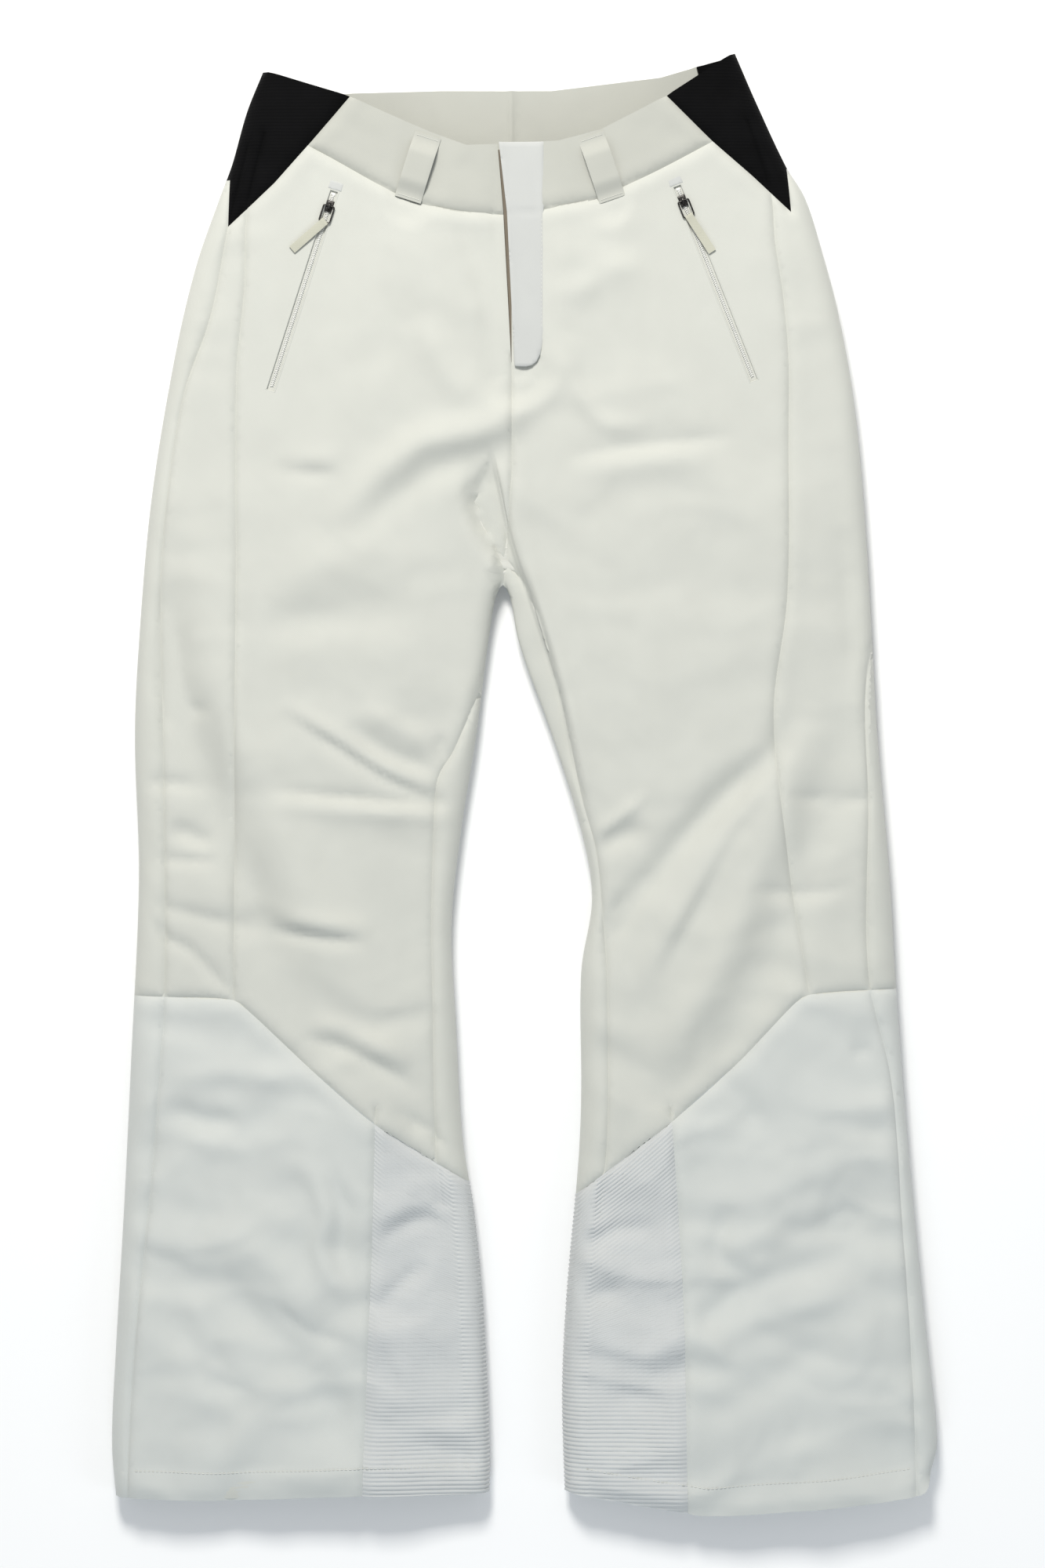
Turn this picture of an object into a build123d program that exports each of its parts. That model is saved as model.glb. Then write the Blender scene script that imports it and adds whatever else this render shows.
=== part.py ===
"""Insulated ski pants, laid flat on their back, as separate sewn and fitted pieces.

Frame: millimetres, +Z up from the surface the pants lie on, +Y towards the waist, +X towards the
wearer's left leg. The origin is the bottom centre of the bounding box. "right" and "left" are the wearer's.
"""
from build123d import *
import math
import os

os.makedirs("parts", exist_ok=True)

# ---------------------------------------------------------------- driving dimensions
THICK = 26.0          # laid-flat thickness of legs and hips
MID = THICK / 2       # height of the side edges, where front and back meet
WALL = 2.0            # shell fabric with its insulation
BEVEL = 8.0           # how far the cloth rounds over at a side edge
OVERRUN = 40.0        # how far a tool runs past an open end of the cloth
FAR = 400.0           # larger than anything in plan
PAST = 1.0            # how far a cutting tool runs past a face
CRUMB = 0.01          # share of a node below which a loose solid is a crumb

LINING_LOW, LINING_TOP, LINING_WALL = 2.6, 16.4, 0.8
LINING_INSET, LINING_BEVEL = 4.4, 5.0
LINING_ABOVE_HEM = 24.0
GAITER_LOW, GAITER_TOP, GAITER_WALL = 4.0, 15.0, 0.8
GAITER_INSET, GAITER_BEVEL = 26.0, 4.0
GAITER_LENGTH, GAITER_ABOVE_HEM = 170.0, 12.0
GRIPPER_DEPTH, GRIPPER_WALL = 16.0, 1.4
HEM_DEPTH, FACING_WALL = 21.0, 0.6
HEM_TOOL_PAST = 20.0                     # how far a hem tool runs past the inside of a leg

LOOP_WIDTH, LOOP_THICK, LOOP_GAP = 20.0, 1.2, 5.2
LOOP_LENGTH, LOOP_FOOT, LOOP_RISE = 50.0, 5.0, 3.0
RELIEF_MARGIN, RELIEF_PLAY = 1.0, 0.1    # round a back loop, and above it, in the cloth it is pressed into

ZIP_LENGTH, ZIP_WINDOW = 155.0, 9.5
TAPE_THICK, TAPE_WIDTH, TAPE_END = 0.6, 24.0, 6.0
COIL_WIDTH, COIL_THICK, COIL_END = 1.9, 1.3, 3.5
STOP_HALF, STOP_LENGTH = 1.6, 2.0
PATCH_WIDTH, PATCH_LENGTH, PATCH_THICK = 10.0, 6.0, 0.6
PATCH_GAP = 0.5                          # from the top of the zip to the patch
SLIDER_REST = 12.0                       # from the top of the zip to the middle of the slider
SLIDER_WIDTH, SLIDER_LENGTH = 6.4, 9.0
SLIDER_UNDER, SLIDER_OVER = -0.4, 0.6    # the slider's upper plate, from the cloth's surface
FLANGE_INNER, FLANGE_LOW = 1.3, -1.6
ARCH_WIDTH, ARCH_HALF, ARCH_WALL, ARCH_TOP = 2.0, 2.4, 0.8, 3.8
WIRE, WIRE_HEIGHT, WIRE_PLAY = 1.2, 1.9, 0.1
PULL_LENGTH, PULL_WIDTH = 13.5, 9.4
STRAP_LENGTH, STRAP_WIDTH, STRAP_THICK, STRAP_START = 33.0, 6.4, 1.9, 1.5
BAG_LOW, BAG_BEVEL, BAG_WALL = 17.4, 1.6, 0.6
# The bag from above, in the frame of the zip, with x towards the fly.
BAG_PLAN = [(62, -196), (88, -120), (62, -20), (14, 4), (-14, 4), (-14, -196)]

FLY_LEFT, FLY_RIGHT = -14.0, 13.3        # the gap between the front panels, under the flap
FLY_BOTTOM = 303.0
UNDERLAP_THICK = 1.2
UNDERLAP = [(-20, 298), (20, 298), (26, 310), (26, 470), (-24, 468), (-24, 310)]
FLY_ZIP_X, FLY_ZIP_LOW, FLY_ZIP_TOP = 0.0, 306.0, 420.0
FLY_TAPE_WIDTH, FLY_TAPE_THICK, FLY_COIL_THICK = 20.0, 0.5, 0.6
FLY_COIL_END = 2.0
FLY_SLIDER_Y = 409.0
FLY_SLIDER_TOP, FLY_SLIDER_THICK, FLY_FLANGE = THICK + 0.1, 0.7, 0.5
FLY_PULL_WIDTH, FLY_PULL_LENGTH = 5.0, 14.0
FLY_PULL_HOLE, FLY_PULL_HOLE_IN = 1.2, 3.5   # the hole's radius, and its distance from the tab's end
FLAP_GAP, FLAP_THICK = 0.4, 1.8
FLAP = [(-19, 473), (-13, 421), (-8, 316), (-4, 309), (3, 307), (9, 311), (11.8, 320), (11.8, 473.4)]
SNAP_X, SNAP_YS = -6.0, (434.0, 457.0)
SNAP_RADIUS, SOCKET_DEPTH, SNAP_PLAY = 5.0, 1.3, 0.5
STUD_RADIUS, STUD_BASE, STUD_HEIGHT = 1.9, 0.6, 1.9

# ---------------------------------------------------------------- outline, from above
OUTER_RIGHT = [(-194, 527), (-206, 497), (-217, 458), (-226, 434), (-244, 382), (-260, 313), (-277, 208),
               (-286, 104), (-289, 34), (-286, -70), (-292, -209), (-297, -314), (-303, -418), (-306, -488),
               (-303, -528)]
HEM_RIGHT = [(-230, -530), (-120, -526)]
INNER_RIGHT = [(-26, -525), (-26, -488), (-31, -383), (-38, -314), (-46, -262), (-51, -175), (-54, -105),
               (-47, -35), (-36, 34), (-27, 104), (-22, 147)]
INNER_LEFT = [(-11, 147), (-4, 104), (21, 34), (42, -35), (50, -85), (42, -140), (42, -230), (40, -279),
              (31, -383), (28, -453), (30, -524)]
HEM_LEFT = [(101, -536), (134, -541), (225, -535), (283, -528)]
OUTER_LEFT = [(300, -514), (306, -488), (299, -418), (292, -349), (284, -262), (275, -140), (271, -70),
              (262, 34), (258, 104), (253, 190), (245, 278), (233, 347), (219, 400), (208, 434), (194, 457),
              (172, 504), (156, 541)]
BACK_WAIST = [(101, 525), (20, 515), (-63, 515), (-138, 513)]
FRONT_WAIST = [(-194, 527), (-129, 507), (-98, 493), (-70, 481), (-43, 471), (25, 474), (57, 483),
               (105, 507.5), (156, 541)]
WAIST_SEAM = [(-160, 471), (-143, 462), (-98, 437), (-76, 428), (-50, 422), (-13, 420), (11, 423), (52, 431),
              (74, 441), (101, 454), (139, 474)]
BACK_WAIST_SEAM = [(-165, 475), (-100, 464), (-10, 460), (80, 468), (142, 480)]
CENTRE_FRONT = [(-9.5, 310), (-9.5, 230), (-16, 140)]
CENTRE_BACK = [(-10, 600), (-10, 0)]
WAISTBAND_SPLIT = [(0, 600), (0, 300)]
LINING_WAIST = [(-FAR, 428), (-100, 428), (-13, 416), (60, 428), (FAR, 432)]

# Seams of each leg, from above. Each list runs downwards, from the waist to the hem.
SIDES = {
    "right": {
        "sign": -1,
        "gusset": [(-194, 527), (-129, 507), (-160, 471), (-185, 443), (-219, 411), (-218, 446), (-250, 455),
                   (-250, 560)],
        "back_gusset": [(-194, 527), (-138, 513), (-165, 475), (-188, 447), (-214, 418), (-222, 446),
                        (-250, 455), (-250, 560)],
        "outseam": [(-205, 470), (-219, 411), (-232, 345), (-251, 290), (-263, 220), (-269, 144), (-267, 20),
                    (-266, -150), (-273, -262), (-290, -448), (-295, -590)],
        "front_seam": [(-192, 480), (-205, 424), (-207, 367), (-213, 300), (-213, 150), (-215, -160)],
        "inseam": [(-20, 100), (-52, 25), (-64, 4), (-67, -29), (-69, -105), (-68, -154), (-66, -262),
                   (-62, -310)],
        "lower_seam": [(-350, -155), (-263, -158), (-215, -160), (-205, -167), (-159, -210), (-106, -255),
                       (-48, -291), (-5, -318)],
        "back_lower_seam": [(-350, -155), (-180, -152), (-5, -158)],
        "guard_edge": [(-110, -240), (-112, -324), (-115, -406), (-119, -505), (-121, -590)],
        "guard_top_back": [(-5, -318), (-48, -291), (-104, -330)],
        "pocket_top": (-140.4, 437.3),
        "pocket_turn": -17.8,
        "strap_turn": -49.0,
        "loop_at": (-78.7, 454.5),
        "loop_turn": -17.6,
    },
    "left": {
        "sign": 1,
        "gusset": [(156, 541), (105, 507.5), (139, 474), (170, 447), (197, 422), (194, 455), (225, 465),
                   (225, 570)],
        "back_gusset": [(156, 541), (128, 532.8), (142, 480), (168, 455), (193, 430), (198, 456), (225, 465),
                        (225, 570)],
        "outseam": [(300, 500), (300, 170), (256, 96), (254, -21), (254, -141), (271, -220),
                    (279, -324), (287, -447), (291, -590)],
        "front_seam": [(165, 490), (182, 436), (185, 400), (191, 360), (195, 313), (195, 257), (194, 139),
                       (184, 51), (195, -60), (210, -156)],
        "inseam": [(-24, 175), (4, 140), (27, 62), (43, -13), (53, -50), (58, -100), (61, -149),
                   (61, -262), (55, -320)],
        "lower_seam": [(350, -150), (277, -152), (210, -156), (200, -162), (155, -209), (105, -253), (45, -299),
                       (5, -330)],
        "back_lower_seam": [(350, -150), (180, -148), (5, -152)],
        "guard_edge": [(108, -240), (114, -324), (118, -406), (120, -510), (122, -590)],
        "guard_top_back": [(5, -330), (45, -299), (104, -335)],
        "pocket_top": (112.5, 441.0),
        "pocket_turn": 21.6,
        "strap_turn": 33.0,
        "loop_at": (56.8, 454.5),
        "loop_turn": 18.9,
    },
}
BACK_LOOPS = {"right": -118.0, "centre": -8.0, "left": 100.0}
BACK_LOOP_Y = 487.0


# ---------------------------------------------------------------- plan tools
def extended(points, by):
    """An open line with its first and last points moved outwards along the line."""
    def beyond(a, b):
        d = math.dist(a, b)
        return (a[0] + (a[0] - b[0]) * by / d, a[1] + (a[1] - b[1]) * by / d)
    return [beyond(points[0], points[1])] + points[1:-1] + [beyond(points[-1], points[-2])]


def cloth_outline(overrun=0.0):
    """The whole outline, anticlockwise from the waist.

    With an overrun its open ends, the waist and the hems, lie further out.
    """
    if not overrun:
        return OUTER_RIGHT + HEM_RIGHT + INNER_RIGHT + INNER_LEFT + HEM_LEFT + OUTER_LEFT + BACK_WAIST
    right = extended(OUTER_RIGHT, overrun)
    inner_right = [extended(INNER_RIGHT, overrun)[0]] + INNER_RIGHT[1:]
    inner_left = INNER_LEFT[:-1] + [extended(INNER_LEFT, overrun)[-1]]
    left = extended(OUTER_LEFT, overrun)
    return right + inner_right + inner_left + left


def inset(points, by):
    """A closed outline moved inwards by a distance, with mitred corners."""
    moved = []
    for i, here in enumerate(points):
        before, after = points[i - 1], points[(i + 1) % len(points)]
        normals = []
        for a, b in ((before, here), (here, after)):
            d = math.dist(a, b)
            normals.append((-(b[1] - a[1]) / d, (b[0] - a[0]) / d))
        (ax, ay), (cx, cy) = normals
        stretch = by / (1 + ax * cx + ay * cy)
        moved.append((here[0] + (ax + cx) * stretch, here[1] + (ay + cy) * stretch))
    return moved


def flat_face(corners):
    return Face(Wire.make_polygon([Vector(*c) for c in corners], close=True))


def pillow(points, low, top, bevel):
    """A closed flat solid whose side edges slope in to its upper and lower faces."""
    small = inset(points, bevel)
    rings = [(small, low), (points, low + bevel), (points, top - bevel), (small, top)]
    faces = []
    for (ring_a, za), (ring_b, zb) in zip(rings, rings[1:]):
        for i in range(len(points)):
            j = (i + 1) % len(points)
            faces.append(flat_face([(*ring_a[i], za), (*ring_a[j], za), (*ring_b[j], zb), (*ring_b[i], zb)]))
    faces.append(flat_face([(*p, low) for p in reversed(small)]))
    faces.append(flat_face([(*p, top) for p in small]))
    return Solid(Shell(faces))


def nested_bevel(bevel, wall):
    """The bevel of a shape that lies a wall's thickness inside one with the given bevel."""
    return bevel - wall * (2 - math.sqrt(2))


def tube(points, low, top, bevel, wall):
    outside = pillow(points, low, top, bevel)
    inside = pillow(inset(points, wall), low + wall, top - wall, nested_bevel(bevel, wall))
    return outside - inside


def prism(points, low, high):
    return extrude(flat_face([(*p, low) for p in points]), amount=high - low, dir=(0, 0, 1))


def front(points):
    return prism(points, MID, THICK + OVERRUN)


def back(points):
    return prism(points, -OVERRUN, MID)


def box(x0, x1, y0, y1, z0, z1):
    return Pos((x0 + x1) / 2, (y0 + y1) / 2, (z0 + z1) / 2) * Box(x1 - x0, y1 - y0, z1 - z0)


def beside(line, sign):
    """The plan region beside a downward line: towards a leg's outer edge (sign) or its inner edge (-sign)."""
    edge = sign * FAR
    return line + [(edge, line[-1][1]), (edge, line[0][1])]


def under(line):
    return line + [(line[-1][0], -FAR * 2), (line[0][0], -FAR * 2)]


def above(line):
    return line + [(line[-1][0], FAR * 2), (line[0][0], FAR * 2)]


def take(stock, tool):
    """Cuts a piece out of the stock: (the piece, what is left)."""
    return stock & tool, stock - tool


def join(*shapes):
    """The pieces as one solid where they touch."""
    made = shapes[0]
    for shape in shapes[1:]:
        made = made + shape
    return made


def save(node, shape):
    """Writes a node. Crumbs that a seam leaves at the very edge of the cloth are dropped."""
    whole = sum(s.volume for s in shape.solids())
    solids = [s for s in shape.solids() if s.volume > CRUMB * whole]
    export_step(Compound(children=solids) if len(solids) > 1 else solids[0], f"parts/{node}.step")


# ---------------------------------------------------------------- shell panels
def shell_halves():
    """The sewn shell as a hollow tube, cut at the height of its side edges."""
    skin = tube(cloth_outline(OVERRUN), 0, THICK, BEVEL, WALL) & prism(cloth_outline(), -PAST, THICK + PAST)
    plan = [(-FAR, -FAR * 2), (FAR, -FAR * 2), (FAR, FAR * 2), (-FAR, FAR * 2)]
    front_half = (skin & front(plan)) - front(above(FRONT_WAIST))
    return front_half, skin & back(plan)


def half_plane(line, sign):
    """Everything on one side of a line that runs down the middle of the cloth."""
    corners = [(line[-1][0], -FAR * 2), (sign * FAR, -FAR * 2), (sign * FAR, FAR * 2)]
    return [(line[0][0], FAR * 2)] + line + corners


def zip_place(side):
    x, y = SIDES[side]["pocket_top"]
    return Location((x, y, THICK), (0, 0, SIDES[side]["pocket_turn"]))


def back_loop_relief(x):
    half = LOOP_WIDTH / 2 + RELIEF_MARGIN
    long = LOOP_LENGTH / 2 + RELIEF_MARGIN
    return box(x - half, x + half, BACK_LOOP_Y - long, BACK_LOOP_Y + long, -PAST, LOOP_THICK + RELIEF_PLAY)


def make_shell():
    front_half, back_half = shell_halves()
    nodes = {}
    for side, seams in SIDES.items():
        gusset_front, front_half = take(front_half, front(seams["gusset"]))
        gusset_back, back_half = take(back_half, back(seams["back_gusset"]))
        nodes[f"stretch_gusset_{side}"] = join(gusset_back, gusset_front)
    front_half = front_half - box(FLY_LEFT, FLY_RIGHT, FLY_BOTTOM, FAR * 2, MID, THICK + PAST)
    band, front_half = take(front_half, front(above(WAIST_SEAM)))
    back_band, back_half = take(back_half, back(above(BACK_WAIST_SEAM)))
    nodes["back_waistband"] = back_band
    for side, seams in SIDES.items():
        sign = seams["sign"]
        nodes[f"front_waistband_{side}"] = band & front(half_plane(WAISTBAND_SPLIT, sign))
        leg_front = front_half & front(half_plane(CENTRE_FRONT, sign))
        leg_back = back_half & back(half_plane(CENTRE_BACK, sign))
        lower, leg_front = take(leg_front, front(under(seams["lower_seam"])))
        lower_back, leg_back = take(leg_back, back(under(seams["back_lower_seam"])))
        guard_front, lower = take(lower, front(beside(seams["guard_edge"], -sign)))
        guard_back, lower_back = take(lower_back, back(under(seams["guard_top_back"])))
        low_wrap, lower = take(lower, front(beside(seams["outseam"], sign)))
        outer_wrap, leg_front = take(leg_front, front(beside(seams["outseam"], sign)))
        inner_wrap, leg_front = take(leg_front, front(beside(seams["inseam"], -sign)))
        side_panel, leg_front = take(leg_front, front(beside(seams["front_seam"], sign)))
        window = zip_place(side) * box(-ZIP_WINDOW / 2, ZIP_WINDOW / 2, -ZIP_LENGTH, 0, -WALL - PAST, PAST)
        nodes[f"front_panel_{side}"] = leg_front - window
        nodes[f"side_panel_{side}"] = side_panel
        nodes[f"back_panel_{side}"] = join(leg_back, outer_wrap, inner_wrap)
        nodes[f"lower_front_panel_{side}"] = lower
        nodes[f"lower_back_panel_{side}"] = join(lower_back, low_wrap)
        nodes[f"scuff_guard_{side}"] = join(guard_back, guard_front)
    for x in BACK_LOOPS.values():
        for node in ("back_waistband", "back_panel_right", "back_panel_left"):
            nodes[node] = nodes[node] - back_loop_relief(x)
    return nodes


# ---------------------------------------------------------------- inner layers
def hem_line(side, up):
    """The hem of a leg, from its outer to its inner side, moved up the leg."""
    if side == "right":
        outer, hem, inner = OUTER_RIGHT[-1], HEM_RIGHT, INNER_RIGHT[0]
    else:
        outer, hem, inner = OUTER_LEFT[0], HEM_LEFT[::-1], INNER_LEFT[-1]
    sign = SIDES[side]["sign"]
    points = [(sign * FAR, outer[1]), outer] + hem + [inner, (inner[0] - sign * HEM_TOOL_PAST, inner[1])]
    return [(x, y + up) for x, y in points]


def hem_band(side, low, high, z0, z1):
    """The region of a leg between two heights above its hem."""
    return prism(hem_line(side, low) + hem_line(side, high)[::-1], z0, z1)


def make_lining(side):
    """The thin tube inside a leg and half the hips, open at the waist, the hem and the centre seam."""
    sign = SIDES[side]["sign"]
    plan = inset(cloth_outline(OVERRUN), LINING_INSET)
    skin = tube(plan, LINING_LOW, LINING_TOP, LINING_BEVEL, LINING_WALL)
    half = half_plane(CENTRE_BACK, sign)
    tall = prism(half, 0, THICK) - prism(above(LINING_WAIST), 0, THICK)
    hem = hem_line(side, LINING_ABOVE_HEM)
    return (skin & tall) - prism(under(hem), 0, THICK)


def make_gaiter(side):
    plan = inset(cloth_outline(OVERRUN), GAITER_INSET)
    skin = tube(plan, GAITER_LOW, GAITER_TOP, GAITER_BEVEL, GAITER_WALL)
    return skin & hem_band(side, GAITER_ABOVE_HEM, GAITER_ABOVE_HEM + GAITER_LENGTH, 0, THICK)


def make_gripper(side):
    """The elastic band inside the lower end of a gaiter."""
    low, top = GAITER_LOW + GAITER_WALL, GAITER_TOP - GAITER_WALL
    outline = inset(cloth_outline(OVERRUN), GAITER_INSET + GAITER_WALL)
    skin = tube(outline, low, top, nested_bevel(GAITER_BEVEL, GAITER_WALL), GRIPPER_WALL)
    return skin & hem_band(side, GAITER_ABOVE_HEM, GAITER_ABOVE_HEM + GRIPPER_DEPTH, 0, THICK)


def make_hem_facing(side):
    """The turned-up edge of the shell, inside the hem."""
    plan = inset(cloth_outline(OVERRUN), WALL)
    skin = tube(plan, WALL, THICK - WALL, nested_bevel(BEVEL, WALL), FACING_WALL)
    return skin & hem_band(side, 0, HEM_DEPTH, 0, THICK)


# ---------------------------------------------------------------- pockets, in the frame of the zip
# Local frame: the origin is the top of the zip on the cloth's surface, -Y runs down the zip.
def make_zip_tape(side):
    half = TAPE_WIDTH / 2
    tape = box(-half, half, -ZIP_LENGTH - TAPE_END, TAPE_END, -WALL - TAPE_THICK, -WALL)
    return zip_place(side) * tape


def make_zip_coil(side):
    half = COIL_WIDTH / 2
    coil = box(-half, half, -ZIP_LENGTH + COIL_END, -COIL_END, -WALL, -WALL + COIL_THICK)
    return zip_place(side) * coil


def make_zip_stop(side):
    stop = box(-STOP_HALF, STOP_HALF, -COIL_END, -COIL_END + STOP_LENGTH, -WALL, -WALL + COIL_THICK)
    return zip_place(side) * stop


def make_top_patch(side):
    """The small bonded patch across the top of the zip."""
    half = PATCH_WIDTH / 2
    return zip_place(side) * box(-half, half, PATCH_GAP, PATCH_GAP + PATCH_LENGTH, 0, PATCH_THICK)


def slider_shape():
    """A slider with its middle at the origin, on a coil whose upper side is COIL_THICK above the tape."""
    half_width, half_length = SLIDER_WIDTH / 2, SLIDER_LENGTH / 2
    top = box(-half_width, half_width, -half_length, half_length, SLIDER_UNDER, SLIDER_OVER)
    flanges = []
    for sign in (-1, 1):
        low_x, high_x = sorted((sign * FLANGE_INNER, sign * half_width))
        flanges.append(box(low_x, high_x, -half_length, half_length, FLANGE_LOW, SLIDER_UNDER))
    return join(top, *flanges)


def make_pocket_slider(side):
    """The slider with the arch that holds the pull's wire."""
    half = ARCH_WIDTH / 2
    arch = box(-half, half, -ARCH_HALF, ARCH_HALF, SLIDER_OVER, ARCH_TOP)
    inner = ARCH_HALF - ARCH_WALL
    hole = box(-half - PAST, half + PAST, -inner, inner, SLIDER_OVER, ARCH_TOP - ARCH_WALL)
    whole = join(slider_shape(), arch - hole)
    return zip_place(side) * Pos(0, -SLIDER_REST, 0) * whole


def ring(wire):
    """The pull's rectangular wire ring. Its upper bar, on the X axis, runs through the arch."""
    half = PULL_WIDTH / 2 - WIRE / 2
    far = -PULL_LENGTH + WIRE
    corners = [(-half, 0), (half, 0), (half, far), (-half, far)]
    shape = None
    for a, b in zip(corners, corners[1:] + corners[:1]):
        length = math.dist(a, b)
        turn = math.degrees(math.atan2(b[1] - a[1], b[0] - a[0]))
        bar = Rot(0, 90, 0) * Cylinder(wire / 2, length)
        bar = Pos((a[0] + b[0]) / 2, (a[1] + b[1]) / 2, 0) * Rot(0, 0, turn) * bar
        bar = join(bar, Pos(a[0], a[1], 0) * Sphere(wire / 2))
        shape = bar if shape is None else shape + bar
    return shape


def pull_place(side):
    return zip_place(side) * Pos(0, -SLIDER_REST, WIRE_HEIGHT)


def make_pocket_pull(side):
    return pull_place(side) * ring(WIRE)


def make_pull_strap(side):
    """The folded tape on the ring, lying at its own angle to the zip."""
    turn = SIDES[side]["strap_turn"] - SIDES[side]["pocket_turn"]
    half = STRAP_WIDTH / 2
    strap = box(-half, half, -STRAP_LENGTH + STRAP_START, STRAP_START, -STRAP_THICK / 2, STRAP_THICK / 2)
    strap = Pos(0, -PULL_LENGTH + WIRE, 0) * Rot(0, 0, turn) * strap
    return pull_place(side) * (strap - ring(WIRE + WIRE_PLAY))


def make_pocket_bag(side):
    """A flat pouch hung under the zip, open along it."""
    sign = SIDES[side]["sign"]
    outline = [(-sign * x, y) for x, y in BAG_PLAN]
    if sign > 0:
        outline = outline[::-1]
    bag = tube(outline, BAG_LOW - THICK, -WALL - TAPE_THICK, BAG_BEVEL, BAG_WALL)
    half = ZIP_WINDOW / 2
    mouth = box(-half, half, -ZIP_LENGTH, 0, -WALL - TAPE_THICK - BAG_WALL - PAST, 0)
    return zip_place(side) * (bag - mouth)


# ---------------------------------------------------------------- waist and fly
def make_front_loop(side):
    """A belt loop: a strip with a foot at each end and room for a belt under it."""
    half, end = LOOP_WIDTH / 2, LOOP_LENGTH / 2
    top = LOOP_GAP + LOOP_THICK
    inner = end - LOOP_FOOT
    under = [(-end, 0), (-inner, 0), (-inner + LOOP_RISE, LOOP_GAP), (inner - LOOP_RISE, LOOP_GAP),
             (inner, 0), (end, 0)]
    over = [(end, LOOP_THICK), (inner + LOOP_THICK / 2, LOOP_THICK), (inner - LOOP_RISE, top),
            (-inner + LOOP_RISE, top), (-inner - LOOP_THICK / 2, LOOP_THICK), (-end, LOOP_THICK)]
    profile = under + over
    strip = extrude(flat_face([(-half, y, z) for y, z in profile]), amount=LOOP_WIDTH, dir=(1, 0, 0))
    x, y = SIDES[side]["loop_at"]
    return Location((x, y, THICK), (0, 0, SIDES[side]["loop_turn"])) * strip


def make_back_loop(place):
    x = BACK_LOOPS[place]
    half, long = LOOP_WIDTH / 2, LOOP_LENGTH / 2
    return box(x - half, x + half, BACK_LOOP_Y - long, BACK_LOOP_Y + long, 0, LOOP_THICK)


def make_underlap():
    """The layer under the fly zip, sewn to the inside of both front panels."""
    return prism(UNDERLAP, THICK - WALL - UNDERLAP_THICK, THICK - WALL)


def make_fly_tape():
    half = FLY_TAPE_WIDTH / 2
    low = THICK - WALL
    return box(FLY_ZIP_X - half, FLY_ZIP_X + half, FLY_ZIP_LOW, FLY_ZIP_TOP, low, low + FLY_TAPE_THICK)


def make_fly_coil():
    half = COIL_WIDTH / 2
    low = THICK - WALL + FLY_TAPE_THICK
    return box(FLY_ZIP_X - half, FLY_ZIP_X + half, FLY_ZIP_LOW + FLY_COIL_END, FLY_ZIP_TOP - FLY_COIL_END,
               low, low + FLY_COIL_THICK)


def make_fly_slider():
    half_width, half_length = SLIDER_WIDTH / 2, SLIDER_LENGTH / 2
    top = box(-half_width, half_width, -half_length, half_length, -FLY_SLIDER_THICK, 0)
    parts = [top]
    for sign in (-1, 1):
        low_x, high_x = sorted((sign * FLANGE_INNER, sign * half_width))
        low = -FLY_SLIDER_THICK - FLY_FLANGE
        parts.append(box(low_x, high_x, -half_length, half_length, low, -FLY_SLIDER_THICK))
    return Pos(FLY_ZIP_X, FLY_SLIDER_Y, FLY_SLIDER_TOP) * join(*parts)


def make_fly_pull():
    """The flat tab of the fly slider, lying down the zip under the flap."""
    half = FLY_PULL_WIDTH / 2
    y = FLY_SLIDER_Y - SLIDER_LENGTH / 2
    tab = box(FLY_ZIP_X - half, FLY_ZIP_X + half, y - FLY_PULL_LENGTH, y, FLY_SLIDER_TOP - FLY_SLIDER_THICK,
              FLY_SLIDER_TOP)
    hole = Cylinder(FLY_PULL_HOLE, 2 * (FLY_SLIDER_THICK + PAST))
    hole = Pos(FLY_ZIP_X, y - FLY_PULL_LENGTH + FLY_PULL_HOLE_IN, FLY_SLIDER_TOP) * hole
    return tab - hole


def make_fly_flap():
    low = THICK + FLAP_GAP
    return prism(FLAP, low, low + FLAP_THICK)


def make_snap_sockets():
    """The snap halves under the tab. Each is a ring that the stud goes into."""
    top = THICK + FLAP_GAP
    shape = []
    for y in SNAP_YS:
        outside = Cylinder(SNAP_RADIUS, SOCKET_DEPTH)
        hole = Cylinder(STUD_RADIUS + SNAP_PLAY, SOCKET_DEPTH + PAST)
        shape.append(Pos(SNAP_X, y, top - SOCKET_DEPTH / 2) * (outside - hole))
    return Compound(children=shape)


def make_snap_studs():
    low = THICK - WALL
    shape = []
    for y in SNAP_YS:
        base = Pos(SNAP_X, y, low + STUD_BASE / 2) * Cylinder(SNAP_RADIUS, STUD_BASE)
        knob = Pos(SNAP_X, y, low + STUD_HEIGHT / 2) * Cylinder(STUD_RADIUS, STUD_HEIGHT)
        shape.append(join(base, knob))
    return Compound(children=shape)


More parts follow.
